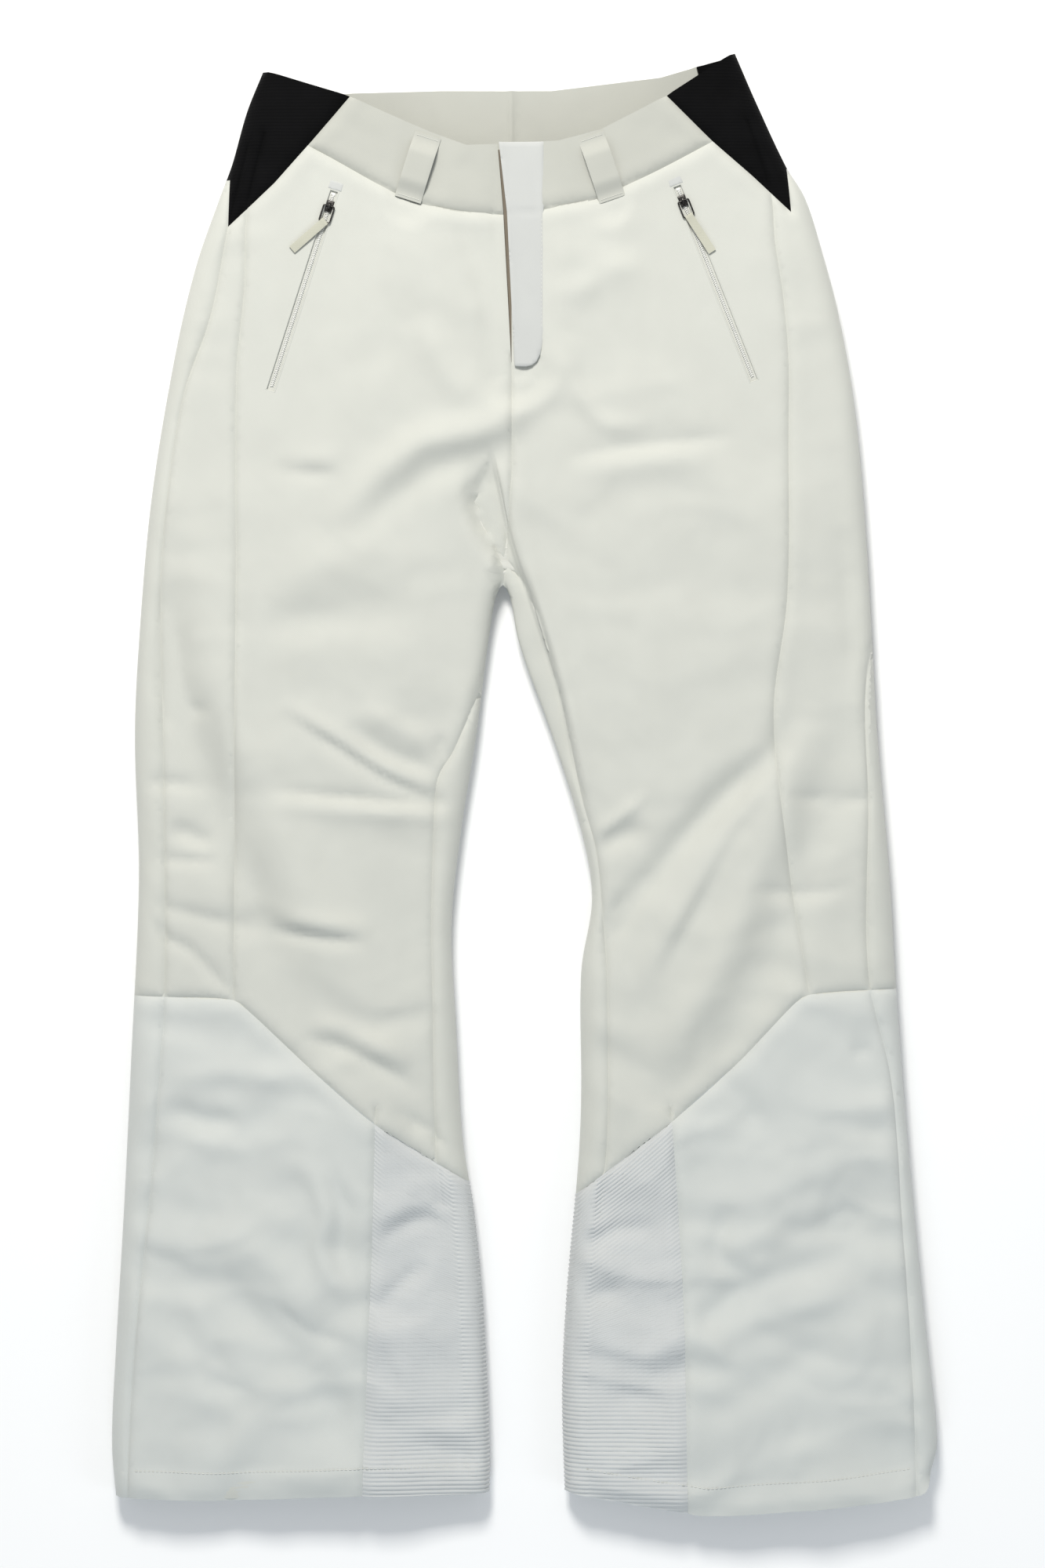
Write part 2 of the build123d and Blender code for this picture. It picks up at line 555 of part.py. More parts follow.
# ---------------------------------------------------------------- everything
def main():
    for node, shape in make_shell().items():
        save(node, shape)
    for side in SIDES:
        save(f"leg_lining_{side}", make_lining(side))
        save(f"boot_gaiter_{side}", make_gaiter(side))
        save(f"gaiter_elastic_{side}", make_gripper(side))
        save(f"hem_facing_{side}", make_hem_facing(side))
        save(f"pocket_zip_tape_{side}", make_zip_tape(side))
        save(f"pocket_zip_coil_{side}", make_zip_coil(side))
        save(f"pocket_zip_stop_{side}", make_zip_stop(side))
        save(f"pocket_zip_patch_{side}", make_top_patch(side))
        save(f"pocket_slider_{side}", make_pocket_slider(side))
        save(f"pocket_pull_{side}", make_pocket_pull(side))
        save(f"pull_strap_{side}", make_pull_strap(side))
        save(f"pocket_bag_{side}", make_pocket_bag(side))
        save(f"front_belt_loop_{side}", make_front_loop(side))
    for place in BACK_LOOPS:
        save(f"back_belt_loop_{place}", make_back_loop(place))
    save("fly_underlap", make_underlap())
    save("fly_zip_tape", make_fly_tape())
    save("fly_zip_coil", make_fly_coil())
    save("fly_slider", make_fly_slider())
    save("fly_pull", make_fly_pull())
    save("fly_flap", make_fly_flap())
    save("snap_sockets", make_snap_sockets())
    save("snap_studs", make_snap_studs())


main()
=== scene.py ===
"""Looks of the laid-flat ski pants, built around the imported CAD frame.

Plan coordinates below are millimetres in the CAD frame: +X to the wearer's left, +Y to the waist, +Z up.
"""

import math

import bmesh
import bpy
import numpy as np
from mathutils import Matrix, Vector, geometry, noise


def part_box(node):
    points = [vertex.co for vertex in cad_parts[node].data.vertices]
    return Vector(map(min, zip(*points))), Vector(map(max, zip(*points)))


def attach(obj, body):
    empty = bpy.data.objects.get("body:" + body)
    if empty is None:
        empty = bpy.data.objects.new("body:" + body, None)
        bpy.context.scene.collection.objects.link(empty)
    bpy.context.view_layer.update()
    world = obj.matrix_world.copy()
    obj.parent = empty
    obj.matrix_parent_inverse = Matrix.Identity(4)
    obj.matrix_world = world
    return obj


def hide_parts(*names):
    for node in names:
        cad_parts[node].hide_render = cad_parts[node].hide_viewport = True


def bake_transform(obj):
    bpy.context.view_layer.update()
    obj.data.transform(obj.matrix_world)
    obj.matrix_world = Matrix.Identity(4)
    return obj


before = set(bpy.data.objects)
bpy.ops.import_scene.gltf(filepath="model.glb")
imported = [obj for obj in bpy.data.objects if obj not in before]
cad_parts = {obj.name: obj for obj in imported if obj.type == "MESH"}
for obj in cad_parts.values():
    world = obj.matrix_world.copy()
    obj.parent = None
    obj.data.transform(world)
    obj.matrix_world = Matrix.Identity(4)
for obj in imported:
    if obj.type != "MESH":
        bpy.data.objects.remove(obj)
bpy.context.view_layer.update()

MM = 0.001
SHELL = "shell"
THICK = round(float(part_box("lower_front_panel_right")[1][2]) / MM, 2)
MID = THICK / 2
CLOTH = 1.7                # drawn thickness of the shell
EDGE_RADIUS = 15.0         # how far the cloth rounds over at a side
GRID, BACK_GRID = 4.2, 7.0  # spacing of the cloth's vertices, front and back
SEAM_RINGS = (-2.2, -0.9, 0.9, 2.2)            # vertices beside a seam line
SIDE_RINGS = (0.35, 1.3, 3.0, 5.4, 8.6, 12.6)  # vertices beside a side edge
LAP = 0.25                 # how far the cloth under the flap stays below the flat surface
FINE_WELD = 0.0005         # welding distance for small closed parts
SHARP_EDGE = 0.9           # radians; a sharper edge isn't shaded smooth
RIB_PITCH, RIB_DEPTH = 3.2, 0.85
HIP_CENTRE = -10.0         # X of the middle of the hips
HIP_LOW, HIP_TOP = 150, 190                     # where a lining leg opens into its half of the hips
LINING_UNDER_FRONT, LINING_OVER_BACK = 2.4, 0.4  # its least distance from the shell's inside
SLIDER_REST = 12.0         # from the top of a pocket zip to the middle of its slider
BAR_HEIGHT = 1.9           # of the pull's wire above the cloth
LOOP_SIZE = (20.0, 50.0)   # belt loop, across and along
LOOP_CLOTH = 1.15          # thickness of a belt loop's folded cloth
HEM_DEPTH = 21             # of the turned-up hem

# ---------------------------------------------------------------- outline and seams, as in the CAD
OUTER_RIGHT = [(-194, 527), (-206, 497), (-217, 458), (-226, 434), (-244, 382), (-260, 313), (-277, 208),
               (-286, 104), (-289, 34), (-286, -70), (-292, -209), (-297, -314), (-303, -418), (-306, -488),
               (-303, -528)]
HEM_RIGHT = [(-303, -528), (-230, -530), (-120, -526), (-26, -525)]
INNER_RIGHT = [(-26, -525), (-26, -488), (-31, -383), (-38, -314), (-46, -262), (-51, -175), (-54, -105),
               (-47, -35), (-36, 34), (-27, 104), (-21, 139), (-16, 147)]
INNER_LEFT = [(-16, 147), (-11, 139), (-4, 104), (21, 34), (42, -35), (50, -85), (42, -140), (42, -230),
              (40, -279), (31, -383), (28, -453), (30, -524)]
HEM_LEFT = [(30, -524), (101, -536), (134, -541), (225, -535), (283, -528), (296, -524), (301, -512)]
OUTER_LEFT = [(301, -512), (306, -488), (299, -418), (292, -349), (284, -262), (275, -140), (271, -70),
              (262, 34), (258, 104), (253, 190), (245, 278), (233, 347), (219, 400), (208, 434), (194, 457),
              (172, 504), (156, 541)]
BACK_WAIST = [(156, 541), (128, 533), (101, 525), (20, 515), (-63, 515), (-138, 513), (-194, 527)]
FRONT_WAIST = [(156, 541), (105, 507.5), (57, 483), (25, 474), (-43, 471), (-70, 481), (-98, 493), (-129, 507),
               (-194, 527)]
WAIST_SEAM = [(-160, 471), (-143, 462), (-98, 437), (-76, 428), (-50, 422), (-13, 420), (11, 423), (52, 431),
              (74, 441), (101, 454), (139, 474)]
BACK_WAIST_SEAM = [(-165, 475), (-100, 464), (-10, 460), (80, 468), (142, 480)]
CENTRE_FRONT = [(-9.5, 318), (-9.5, 230), (-16, 140)]
CENTRE_BACK = [(-10, 520), (-10, 300), (-16, 140)]
FLY_WINDOW = [(-9.8, 311), (6.2, 311), (9.4, 315.5), (11.9, 325), (13.3, 340), (13.3, 490), (-21.5, 490),
              (-15.8, 423)]
LEGS = {
    "right": {
        "sign": -1, "outer": OUTER_RIGHT, "inner": INNER_RIGHT, "hem": HEM_RIGHT,
        "gusset": [(-200, 535), (-129, 507), (-160, 471), (-185, 443), (-219, 411), (-218, 446), (-250, 455),
                   (-250, 560)],
        "back_gusset": [(-200, 535), (-138, 513), (-165, 475), (-188, 447), (-214, 418), (-222, 446),
                        (-250, 455), (-250, 560)],
        "outseam": [(-205, 470), (-219, 411), (-232, 345), (-251, 290), (-263, 220), (-269, 144), (-267, 20),
                    (-266, -150), (-273, -262), (-290, -448), (-295, -590)],
        "front_seam": [(-192, 480), (-205, 424), (-207, 367), (-213, 300), (-213, 150), (-214, 0),
                       (-215, -160)],
        "inseam": [(-20, 100), (-52, 25), (-64, 4), (-67, -29), (-69, -105), (-68, -154), (-66, -262),
                   (-62, -310)],
        "lower_seam": [(-350, -155), (-263, -158), (-215, -160), (-205, -167), (-159, -210), (-106, -255),
                       (-48, -291), (-5, -318)],
        "back_lower_seam": [(-350, -155), (-180, -152), (-5, -158)],
        "guard_edge": [(-110, -240), (-112, -324), (-115, -406), (-119, -505), (-121, -590)],
        "guard_back": -104.0,
        "pocket_top": (-140.4, 437.3), "pocket_turn": -17.8, "strap_turn": -49.0,
        "loop_at": (-78.7, 454.5), "loop_turn": -17.6,
    },
    "left": {
        "sign": 1, "outer": OUTER_LEFT[::-1], "inner": INNER_LEFT[::-1], "hem": HEM_LEFT[::-1],
        "gusset": [(160, 550), (105, 507.5), (139, 474), (170, 447), (197, 422), (194, 455), (225, 465),
                   (225, 570)],
        "back_gusset": [(160, 550), (128, 533), (142, 480), (168, 455), (193, 430), (198, 456), (225, 465),
                        (225, 570)],
        "outseam": [(300, 500), (300, 170), (256, 96), (254, -21), (254, -141), (271, -220), (279, -324),
                    (287, -447), (291, -590)],
        "front_seam": [(165, 490), (182, 436), (185, 400), (191, 360), (195, 313), (195, 257), (194, 139),
                       (184, 51), (195, -60), (210, -156)],
        "inseam": [(-24, 175), (4, 140), (27, 62), (43, -13), (53, -50), (58, -100), (61, -149), (61, -262),
                   (55, -320)],
        "lower_seam": [(350, -150), (277, -152), (210, -156), (200, -162), (155, -209), (105, -253), (45, -299),
                       (5, -330)],
        "back_lower_seam": [(350, -150), (180, -148), (5, -152)],
        "guard_edge": [(108, -240), (114, -324), (118, -406), (120, -510), (122, -590)],
        "guard_back": 104.0,
        "pocket_top": (112.5, 441.0), "pocket_turn": 21.6, "strap_turn": 33.0,
        "loop_at": (56.8, 454.5), "loop_turn": 18.9,
    },
}
ZIP_LENGTH, ZIP_SLOT = 155.0, 6.6
BACK_LOOPS = {"right": -118.0, "centre": -8.0, "left": 100.0}
BACK_LOOP_Y = 487.0

# Folds of the cloth: (line, half width, height, sharpness). A negative height is a valley.
SOFT, CREASE = 0, 1
FOLDS = [
    ([(-50, 432), (-27, 364), (-10, 290)], 12, -3.0, SOFT),
    ([(-77, 345), (-56, 302), (-27, 269)], 13, 2.2, SOFT),
    ([(38, 330), (31, 314), (14, 294), (-23, 265), (-81, 248), (-147, 186)], 13, 4.5, SOFT),
    ([(10, 272), (-23, 244), (-75, 225), (-130, 180)], 12, -2.2, SOFT),
    ([(-211, 248), (-176, 232), (-135, 228)], 6, -3.2, CREASE),
    ([(-211, 256), (-176, 242), (-135, 238)], 9, 1.8, SOFT),
    ([(31, 240), (81, 248), (143, 255), (184, 261)], 8, -3.2, CREASE),
    ([(31, 229), (81, 236), (143, 243)], 11, 2.0, SOFT),
    ([(31, 314), (39, 290), (60, 265), (93, 262)], 7, 1.7, SOFT),
    ([(35, 352), (52, 372), (85, 385)], 10, 1.4, SOFT),
    ([(-193, 119), (-135, 124), (-81, 132)], 17, -3.0, SOFT),
    ([(-190, 150), (-150, 160), (-95, 185)], 18, 2.2, SOFT),
    ([(-180, 53), (-135, 24), (-97, 0), (-48, -17)], 4.5, -3.4, CREASE),
    ([(-182, 60), (-137, 33), (-97, 10), (-60, -6)], 7, 2.4, SOFT),
    ([(-188, -5), (-139, -10), (-89, -14), (-48, -17)], 4.5, -3.2, CREASE),
    ([(-188, -14), (-139, -19), (-89, -23), (-52, -27)], 8, 2.4, SOFT),
    ([(-130, 45), (-106, 24), (-64, 8)], 7, -2.6, SOFT),
    ([(-120, 58), (-92, 40), (-62, 26)], 9, 2.6, SOFT),
    ([(-64, 36), (-60, 14)], 4, -2.4, CREASE),
    ([(-268, 57), (-230, 53)], 5, -2.2, CREASE),
    ([(-288, 2), (-234, -2)], 5, -2.8, CREASE),
    ([(-275, -56), (-226, -58)], 4.5, -2.8, CREASE),
    ([(-262, -32), (-230, -46)], 7, -3.0, SOFT),
    ([(-287, -22), (-274, -70)], 5, -2.2, CREASE),
    ([(-284, -83), (-267, -112), (-246, -124), (-222, -149), (-205, -160)], 4.5, -2.8, CREASE),
    ([(-284, -87), (-240, -98), (-197, -108)], 7, -3.0, CREASE),
    ([(-188, -108), (-151, -114), (-116, -118)], 5.5, -4.0, CREASE),
    ([(-188, -99), (-151, -104), (-112, -108)], 8, 2.4, SOFT),
    ([(-272, 200), (-267, 140), (-259, 78), (-238, 16), (-213, -54), (-193, -112), (-160, -185)],
     19, -4.5, SOFT),
    ([(-240, 200), (-234, 120), (-218, 60), (-190, -10), (-165, -79), (-128, -149), (-90, -215)],
     24, 4.6, SOFT),
    ([(205, 60), (180, 20), (143, -13), (101, -62), (60, -112), (47, -149)], 11, -4.6, SOFT),
    ([(196, 25), (151, -46), (109, -108), (80, -160)], 12, 3.6, SOFT),
    ([(186, 2), (155, -42), (130, -87), (98, -146)], 7, -2.4, SOFT),
    ([(214, 60), (196, 0), (172, -60), (140, -140), (95, -215)], 15, 4.2, SOFT),
    ([(238, 60), (226, -10), (206, -70), (172, -150), (130, -215), (60, -265)], 18, -3.2, SOFT),
    ([(240, 190), (246, 130), (250, 60)], 16, -3.2, SOFT),
    ([(192, -9), (230, -13), (268, -10)], 5, -2.6, CREASE),
    ([(163, -79), (217, -81), (246, -73)], 5.5, -2.4, CREASE),
    ([(165, 50), (172, 0), (160, -30)], 9, 1.5, SOFT),
    ([(45, -44), (76, -21), (92, -6)], 5, 3.0, CREASE),
    ([(44, -55), (66, -42), (92, -32)], 8, -2.6, SOFT),
    ([(-168, -187), (-135, -195), (-89, -220), (-78, -231)], 6, -3.6, CREASE),
    ([(-160, -176), (-128, -184), (-84, -208)], 8, 2.6, SOFT),
    ([(-97, -241), (-64, -262), (-46, -284)], 5, -3.2, CREASE),
    ([(-267, -237), (-238, -248), (-209, -250)], 10, -3.0, SOFT),
    ([(-262, -218), (-210, -214), (-165, -222)], 9, 2.2, SOFT),
    ([(-258, -340), (-209, -382), (-155, -440), (-130, -500)], 15, -4.2, SOFT),
    ([(-275, -385), (-230, -430), (-190, -470)], 13, -3.0, SOFT),
    ([(-240, -330), (-190, -352), (-150, -400)], 13, 2.6, SOFT),
    ([(-168, -274), (-147, -315), (-151, -348), (-126, -386)], 8, 2.8, SOFT),
    ([(-150, -268), (-134, -310), (-134, -350), (-124, -372)], 7, -2.2, SOFT),
    ([(-188, -380), (-160, -404), (-122, -414)], 7, -2.8, CREASE),
    ([(-110, -340), (-88, -326), (-64, -319)], 7, -2.6, SOFT),
    ([(-110, -390), (-94, -372), (-72, -353)], 6, -3.0, CREASE),
    ([(-110, -468), (-70, -470), (-31, -460)], 9, -1.8, SOFT),
    ([(39, -344), (70, -330), (101, -332)], 8, -2.8, SOFT),
    ([(39, -381), (76, -373)], 8, -1.8, SOFT),
    ([(60, -448), (114, -460)], 9, -1.6, SOFT),
    ([(151, -311), (143, -348), (172, -365)], 8, -2.6, SOFT),
    ([(176, -324), (215, -330), (262, -312)], 9, -2.6, SOFT),
    ([(122, -406), (150, -380), (184, -365), (246, -348)], 10, -3.0, SOFT),
    ([(126, -425), (160, -400), (200, -388), (250, -372)], 10, 2.4, SOFT),
    ([(126, -472), (184, -439), (238, -406)], 13, -2.6, SOFT),
    ([(135, -215), (160, -232), (175, -262)], 11, -2.2, SOFT),
    ([(240, -200), (258, -196)], 6, -2.2, CREASE),
    ([(-8, 225), (12, 127), (25, 86), (47, -10)], 9, 2.0, SOFT),
    ([(-32, 236), (-40, 210), (-28, 178), (-18, 160)], 5, -6.5, CREASE),
    ([(-150, 497), (-120, 480), (-100, 470)], 7, -1.4, SOFT),
    ([(84, 490), (100, 478), (118, 480)], 7, -1.4, SOFT),
    ([(-50, 462), (-30, 440)], 9, -1.4, SOFT),
]


# ---------------------------------------------------------------- plan geometry
def smooth_line(points, step=5.0, closed=False):
    """A Catmull-Rom curve through the points, sampled about every step."""
    pts = [np.array(p, float) for p in points]
    n = len(pts)
    out = []
    spans = n if closed else n - 1
    for i in range(spans):
        a = pts[(i - 1) % n] if closed or i > 0 else 2 * pts[0] - pts[1]
        b, c = pts[i], pts[(i + 1) % n]
        d = pts[(i + 2) % n] if closed or i < n - 2 else 2 * pts[-1] - pts[-2]
        length = np.linalg.norm(c - b)
        m1 = (c - a) * length / (np.linalg.norm(c - b) + np.linalg.norm(b - a))
        m2 = (d - b) * length / (np.linalg.norm(d - c) + np.linalg.norm(c - b))
        count = max(1, int(round(length / step)))
        for k in range(count):
            t = k / count
            h = (2 * t**3 - 3 * t**2 + 1) * b + (t**3 - 2 * t**2 + t) * m1
            out.append(h + (-2 * t**3 + 3 * t**2) * c + (t**3 - t**2) * m2)
    if not closed:
        out.append(pts[-1])
    return np.array(out)


def straight_line(points, step=5.0):
    out = []
    for a, b in zip(points, points[1:]):
        a, b = np.array(a, float), np.array(b, float)
        count = max(1, int(round(np.linalg.norm(b - a) / step)))
        out += [a + (b - a) * k / count for k in range(count)]
    return np.array(out + [np.array(points[-1], float)])


def line_distance(points, line):
    """For each point: the distance to the line, the signed side, and the share of the line passed."""
    best = np.full(len(points), 1e9)
    side = np.zeros(len(points))
    share = np.zeros(len(points))
    lengths = np.linalg.norm(np.diff(line, axis=0), axis=1)
    total = lengths.sum()
    gone = 0.0
    for a, b, length in zip(line, line[1:], lengths):
        if length < 1e-9:
            continue
        d = (b - a) / length
        rel = points - a
        t = np.clip(rel @ d, 0, length)
        off = rel - t[:, None] * d
        dist = np.hypot(off[:, 0], off[:, 1])
        near = dist < best
        best[near] = dist[near]
        side[near] = np.sign(d[0] * off[near, 1] - d[1] * off[near, 0])
        share[near] = (gone + t[near]) / total
        gone += length
    return best, side, share


def shifted(line, by):
    """A plan line moved sideways, to the left of its direction."""
    tangent = np.gradient(line, axis=0)
    tangent /= np.linalg.norm(tangent, axis=1)[:, None]
    return line + np.stack([-tangent[:, 1], tangent[:, 0]], 1) * by


def looped(line):
    return np.vstack([line, line[:1]])


def smoothstep(x, low=0.0, high=1.0):
    t = np.clip((x - low) / (high - low), 0, 1)
    return t * t * (3 - 2 * t)


def inside(points, polygon):
    hit = np.zeros(len(points), bool)
    x, y = points[:, 0], points[:, 1]
    for (x0, y0), (x1, y1) in zip(polygon, np.roll(polygon, -1, axis=0)):
        if y0 == y1:
            continue
        cross = ((y0 > y) != (y1 > y)) & (x < (x1 - x0) * (y - y0) / (y1 - y0) + x0)
        hit ^= cross
    return hit


def x_on(line, y):
    line = np.array(line, float)
    order = np.argsort(line[:, 1])
    return np.interp(y, line[order, 1], line[order, 0])


def y_on(line, x):
    line = np.array(line, float)
    order = np.argsort(line[:, 0])
    return np.interp(x, line[order, 0], line[order, 1])


def turned(points, at, degrees):
    t = math.radians(degrees)
    points = np.array(points, float)
    x = at[0] + points[:, 0] * math.cos(t) - points[:, 1] * math.sin(t)
    y = at[1] + points[:, 0] * math.sin(t) + points[:, 1] * math.cos(t)
    return np.stack([x, y], 1)


SIDES_LINES = [smooth_line(OUTER_RIGHT), smooth_line(INNER_RIGHT[:-1] + INNER_LEFT), smooth_line(OUTER_LEFT)]


def pocket_slot(side):
    leg = LEGS[side]
    half = ZIP_SLOT / 2
    corners = [(-half, 0), (half, 0), (half, -ZIP_LENGTH), (-half, -ZIP_LENGTH), (-half, 0)]
    return turned(corners, leg["pocket_top"], leg["pocket_turn"])


def front_seams():
    lines = [smooth_line(WAIST_SEAM), straight_line(CENTRE_FRONT), straight_line(FLY_WINDOW + FLY_WINDOW[:1])]
    for leg in LEGS.values():
        smooth = ("outseam", "front_seam", "inseam", "guard_edge", "lower_seam")
        lines += [smooth_line(leg[key]) for key in smooth]
        lines.append(straight_line(leg["gusset"][1:7]))
    return lines


# The fold along the left inner thigh, the edge of the notch at the crotch, and what lies between them.
TUCK = smooth_line([(-24, 246), (-17, 214), (-12, 190), (-5, 165), (6, 134), (27, 66), (40, 5), (50, -24)], 4.0)
NOTCH_EDGE = smooth_line([(-24, 246), (-32, 228), (-38, 207), (-33, 191), (-26, 180), (-21, 170),
                          (-20, 160)], 4.0)
NOTCH = [(-24, 246), (-32, 228), (-38, 207), (-33, 191), (-26, 180), (-21, 170), (-20, 143), (0, 60), (30, -30),
         (50, -24), (40, 5), (27, 66), (6, 134), (-5, 165), (-12, 190), (-17, 214)]


def back_seams():
    lines = [smooth_line(BACK_WAIST_SEAM), straight_line(CENTRE_BACK)]
    for leg in LEGS.values():
        edge = leg["guard_back"]
        lines += [straight_line(leg["back_gusset"][1:7]), straight_line(leg["back_lower_seam"]),
                  straight_line([(edge, y_on(leg["lower_seam"], edge)), (edge, -590)])]
    return lines


# ---------------------------------------------------------------- the height of the cloth
CREASE_RADIUS = 2.6  # a crease's bottom is blunt, not a knife edge


def nearest(points, lines):
    return np.min([line_distance(points, line)[0] for line in lines], axis=0)


def side_distance(points):
    return nearest(points, SIDES_LINES)


def edge_ease(d):
    """0 at a side edge and 1 from EDGE_RADIUS inwards, as a quarter circle."""
    return np.sqrt(np.clip(1 - (1 - np.minimum(d, EDGE_RADIUS) / EDGE_RADIUS) ** 2, 0, 1))


def fold_field(points, folds):
    """The height that the drawn folds add."""
    z = np.zeros(len(points))
    for line, width, height, kind in folds:
        line = smooth_line(line, 6.0)
        low, high = line.min(0) - 3.2 * width, line.max(0) + 3.2 * width
        near = np.all((points > low) & (points < high), axis=1)
        if not near.any():
            continue
        d, _, share = line_distance(points[near], line)
        end = np.clip(np.minimum(share, 1 - share) / 0.28, 0, 1) ** 0.8
        if kind == CREASE:
            blunt = np.sqrt(d ** 2 + CREASE_RADIUS ** 2) - CREASE_RADIUS
            shape = np.exp(-blunt / (0.55 * width)) * 0.75 + np.exp(-(d / (1.4 * width)) ** 2) * 0.25
        else:
            shape = 1.35 * np.exp(-(d / width) ** 2)
        z[near] += height * end * shape
    return z


def ripples(points, size, seed, stretch=(1.0, 1.0)):
    """Soft undulation, about -1 to 1."""
    across, along = stretch
    return np.array([noise.noise(Vector((x / size * across, y / size * along, seed))) for x, y in points])


def wrinkles(points):
    """Small random wrinkles: stronger on the lower legs than on the thighs."""
    low = smoothstep(-points[:, 1], 60, 330)
    bend_x = ripples(points, 60, 3.7) * 24
    bend_y = ripples(points, 70, 9.1) * 24
    moved = points + np.stack([bend_x, bend_y], 1)
    broad = ripples(moved, 85, 1.3, (1.0, 1.5)) * (2.0 + 2.0 * low)
    folds = ripples(moved, 40, 5.9, (0.75, 1.5)) * (1.1 + 2.2 * low)
    ridged = (0.5 - np.abs(ripples(moved, 52, 12.4, (0.6, 1.35)))) * (0.8 + 4.2 * low)
    fine = ripples(moved, 15, 7.7) * (0.24 + 0.55 * low)
    return broad + folds + ridged + fine


STRAP_BELOW = 34.0   # how far the strap reaches below the zip when the slider is at its bottom end


def calm(points):
    """0 where the cloth lies flat for the pockets' pulls and the fly, 1 elsewhere."""
    keep = np.ones(len(points))
    for leg in LEGS.values():
        line = turned([(0, 6), (0, -ZIP_LENGTH - STRAP_BELOW)], leg["pocket_top"], leg["pocket_turn"])
        d = line_distance(points, line)[0]
        keep = np.minimum(keep, smoothstep(d, 20, 62))
        loop = line_distance(points, turned([(0, -24), (0, 24)], leg["loop_at"], leg["loop_turn"]))[0]
        keep = np.minimum(keep, smoothstep(loop, 10, 26))
    fly = line_distance(points, np.array([(-4.0, 305.0), (-4.0, 480.0)]))[0]
    return np.minimum(keep, smoothstep(fly, 17, 34))


FRONT_LINES = front_seams()
FRONT_GROOVES = [line for i, line in enumerate(FRONT_LINES) if i != 2]  # all but the fly's window
BACK_LINES = back_seams()


def groove(points, lines, depth=2.1, width=1.9):
    """A seam: a narrow valley between two low swellings."""
    d = nearest(points, lines)
    return -depth * np.exp(-(d / width) ** 1.4) + 0.45 * np.exp(-((d - 8) / 5) ** 2)


def front_height(points, seams=True):
    d = side_distance(points)
    ease = edge_ease(d)
    shape = wrinkles(points) + fold_field(points, FOLDS) + 3.2 * smoothstep(d, 10, 75)
    shape *= smoothstep(d, 1, 22) * 0.85 + 0.15 * smoothstep(d, 0, 4)
    keep = calm(points)
    waist = smoothstep(points[:, 1] - y_on(WAIST_SEAM, points[:, 0]), -4, 4)
    raised = np.minimum(shape * (0.12 + 0.88 * keep), 0.25 + 40 * keep)
    shape = np.where(shape > 0, raised, np.maximum(shape, -3.6) * (0.35 + 0.65 * keep))
    shape = np.where(waist > 0.5, shape * 0.45, shape)
    x, y = points[:, 0], points[:, 1]
    hem = y - np.where(x > 0, y_on(HEM_LEFT, x), y_on(HEM_RIGHT, x))
    shape += 1.0 * smoothstep(hem, 24, 17) * smoothstep(hem, -3, 4) - 2.2 * smoothstep(hem, 10, 0)
    z = MID + (THICK - MID + shape) * ease
    if seams:
        z += groove(points, FRONT_GROOVES) * np.minimum(1, ease + 0.1)
    # the back's fabric shows, lower down, between the two fronts' folded edges at the crotch
    folded = np.minimum(line_distance(points, TUCK)[0], line_distance(points, NOTCH_EDGE)[0])
    low = inside(points, NOTCH)
    ends = smoothstep(246 - y, 0, 26) * smoothstep(y, -24, 30)
    roll = 1 - np.sqrt(np.clip(1 - (1 - np.minimum(folded, 6) / 6) ** 2, 0, 1))
    drop = np.where(low, 5.4 + 2.8 * smoothstep(folded, 0, 3), 3.2 * roll)
    z = z - drop * ends * ease
    # the left front rises to meet the flap sewn on it
    past_flap = np.clip(x - 12.5, 0, None)
    lift = smoothstep(past_flap, 0, 0.6) * (1 - smoothstep(past_flap, 4, 46))
    tall = smoothstep(y, 296, 318) * smoothstep(-y, -520, -470)
    z += 1.9 * lift * tall
    under = (x > -24) & (x < 12.6) & (y > 298)
    z = np.where(under, np.minimum(z, THICK - LAP), z)
    # the cloth gives way under the fly slider's pull when the zip is open
    pull_room = smoothstep(5.0 - np.abs(x), 0, 1.5) * smoothstep(y, 300, 303)
    relief = THICK - LAP - 0.85 * pull_room * smoothstep(316 - y, 0, 2)
    return np.where(pull_room > 0, np.minimum(z, np.where(y < 316, relief, z)), z)


def back_height(points):
    d = side_distance(points)
    ease = edge_ease(d)
    soft = 0.7 + 0.9 * np.abs(ripples(points, 55, 21.3)) + 0.5 * np.abs(ripples(points, 22, 31.9))
    soft = soft * smoothstep(d, 4, 40) + 0.5 - 0.8 * groove(points, BACK_LINES)
    return MID - (MID - 0.25) * ease + soft * ease * 0.8


# ---------------------------------------------------------------- triangulating the cloth in plan
def delaunay(points, edges, tolerance):
    """Triangles over the points, with the edges kept: (vertices, triangles)."""
    out = geometry.delaunay_2d_cdt([Vector(p) for p in points], edges, [], 0, tolerance)
    return np.array([tuple(p) for p in out[0]]), np.array([f for f in out[2] if len(f) == 3])


def facing(v, t, sign):
    """The triangles, all turned to face up (1) or down (-1)."""
    area = np.cross(v[t[:, 1]] - v[t[:, 0]], v[t[:, 2]] - v[t[:, 0]]) * sign
    t[area < 0] = t[area < 0][:, ::-1]
    return t


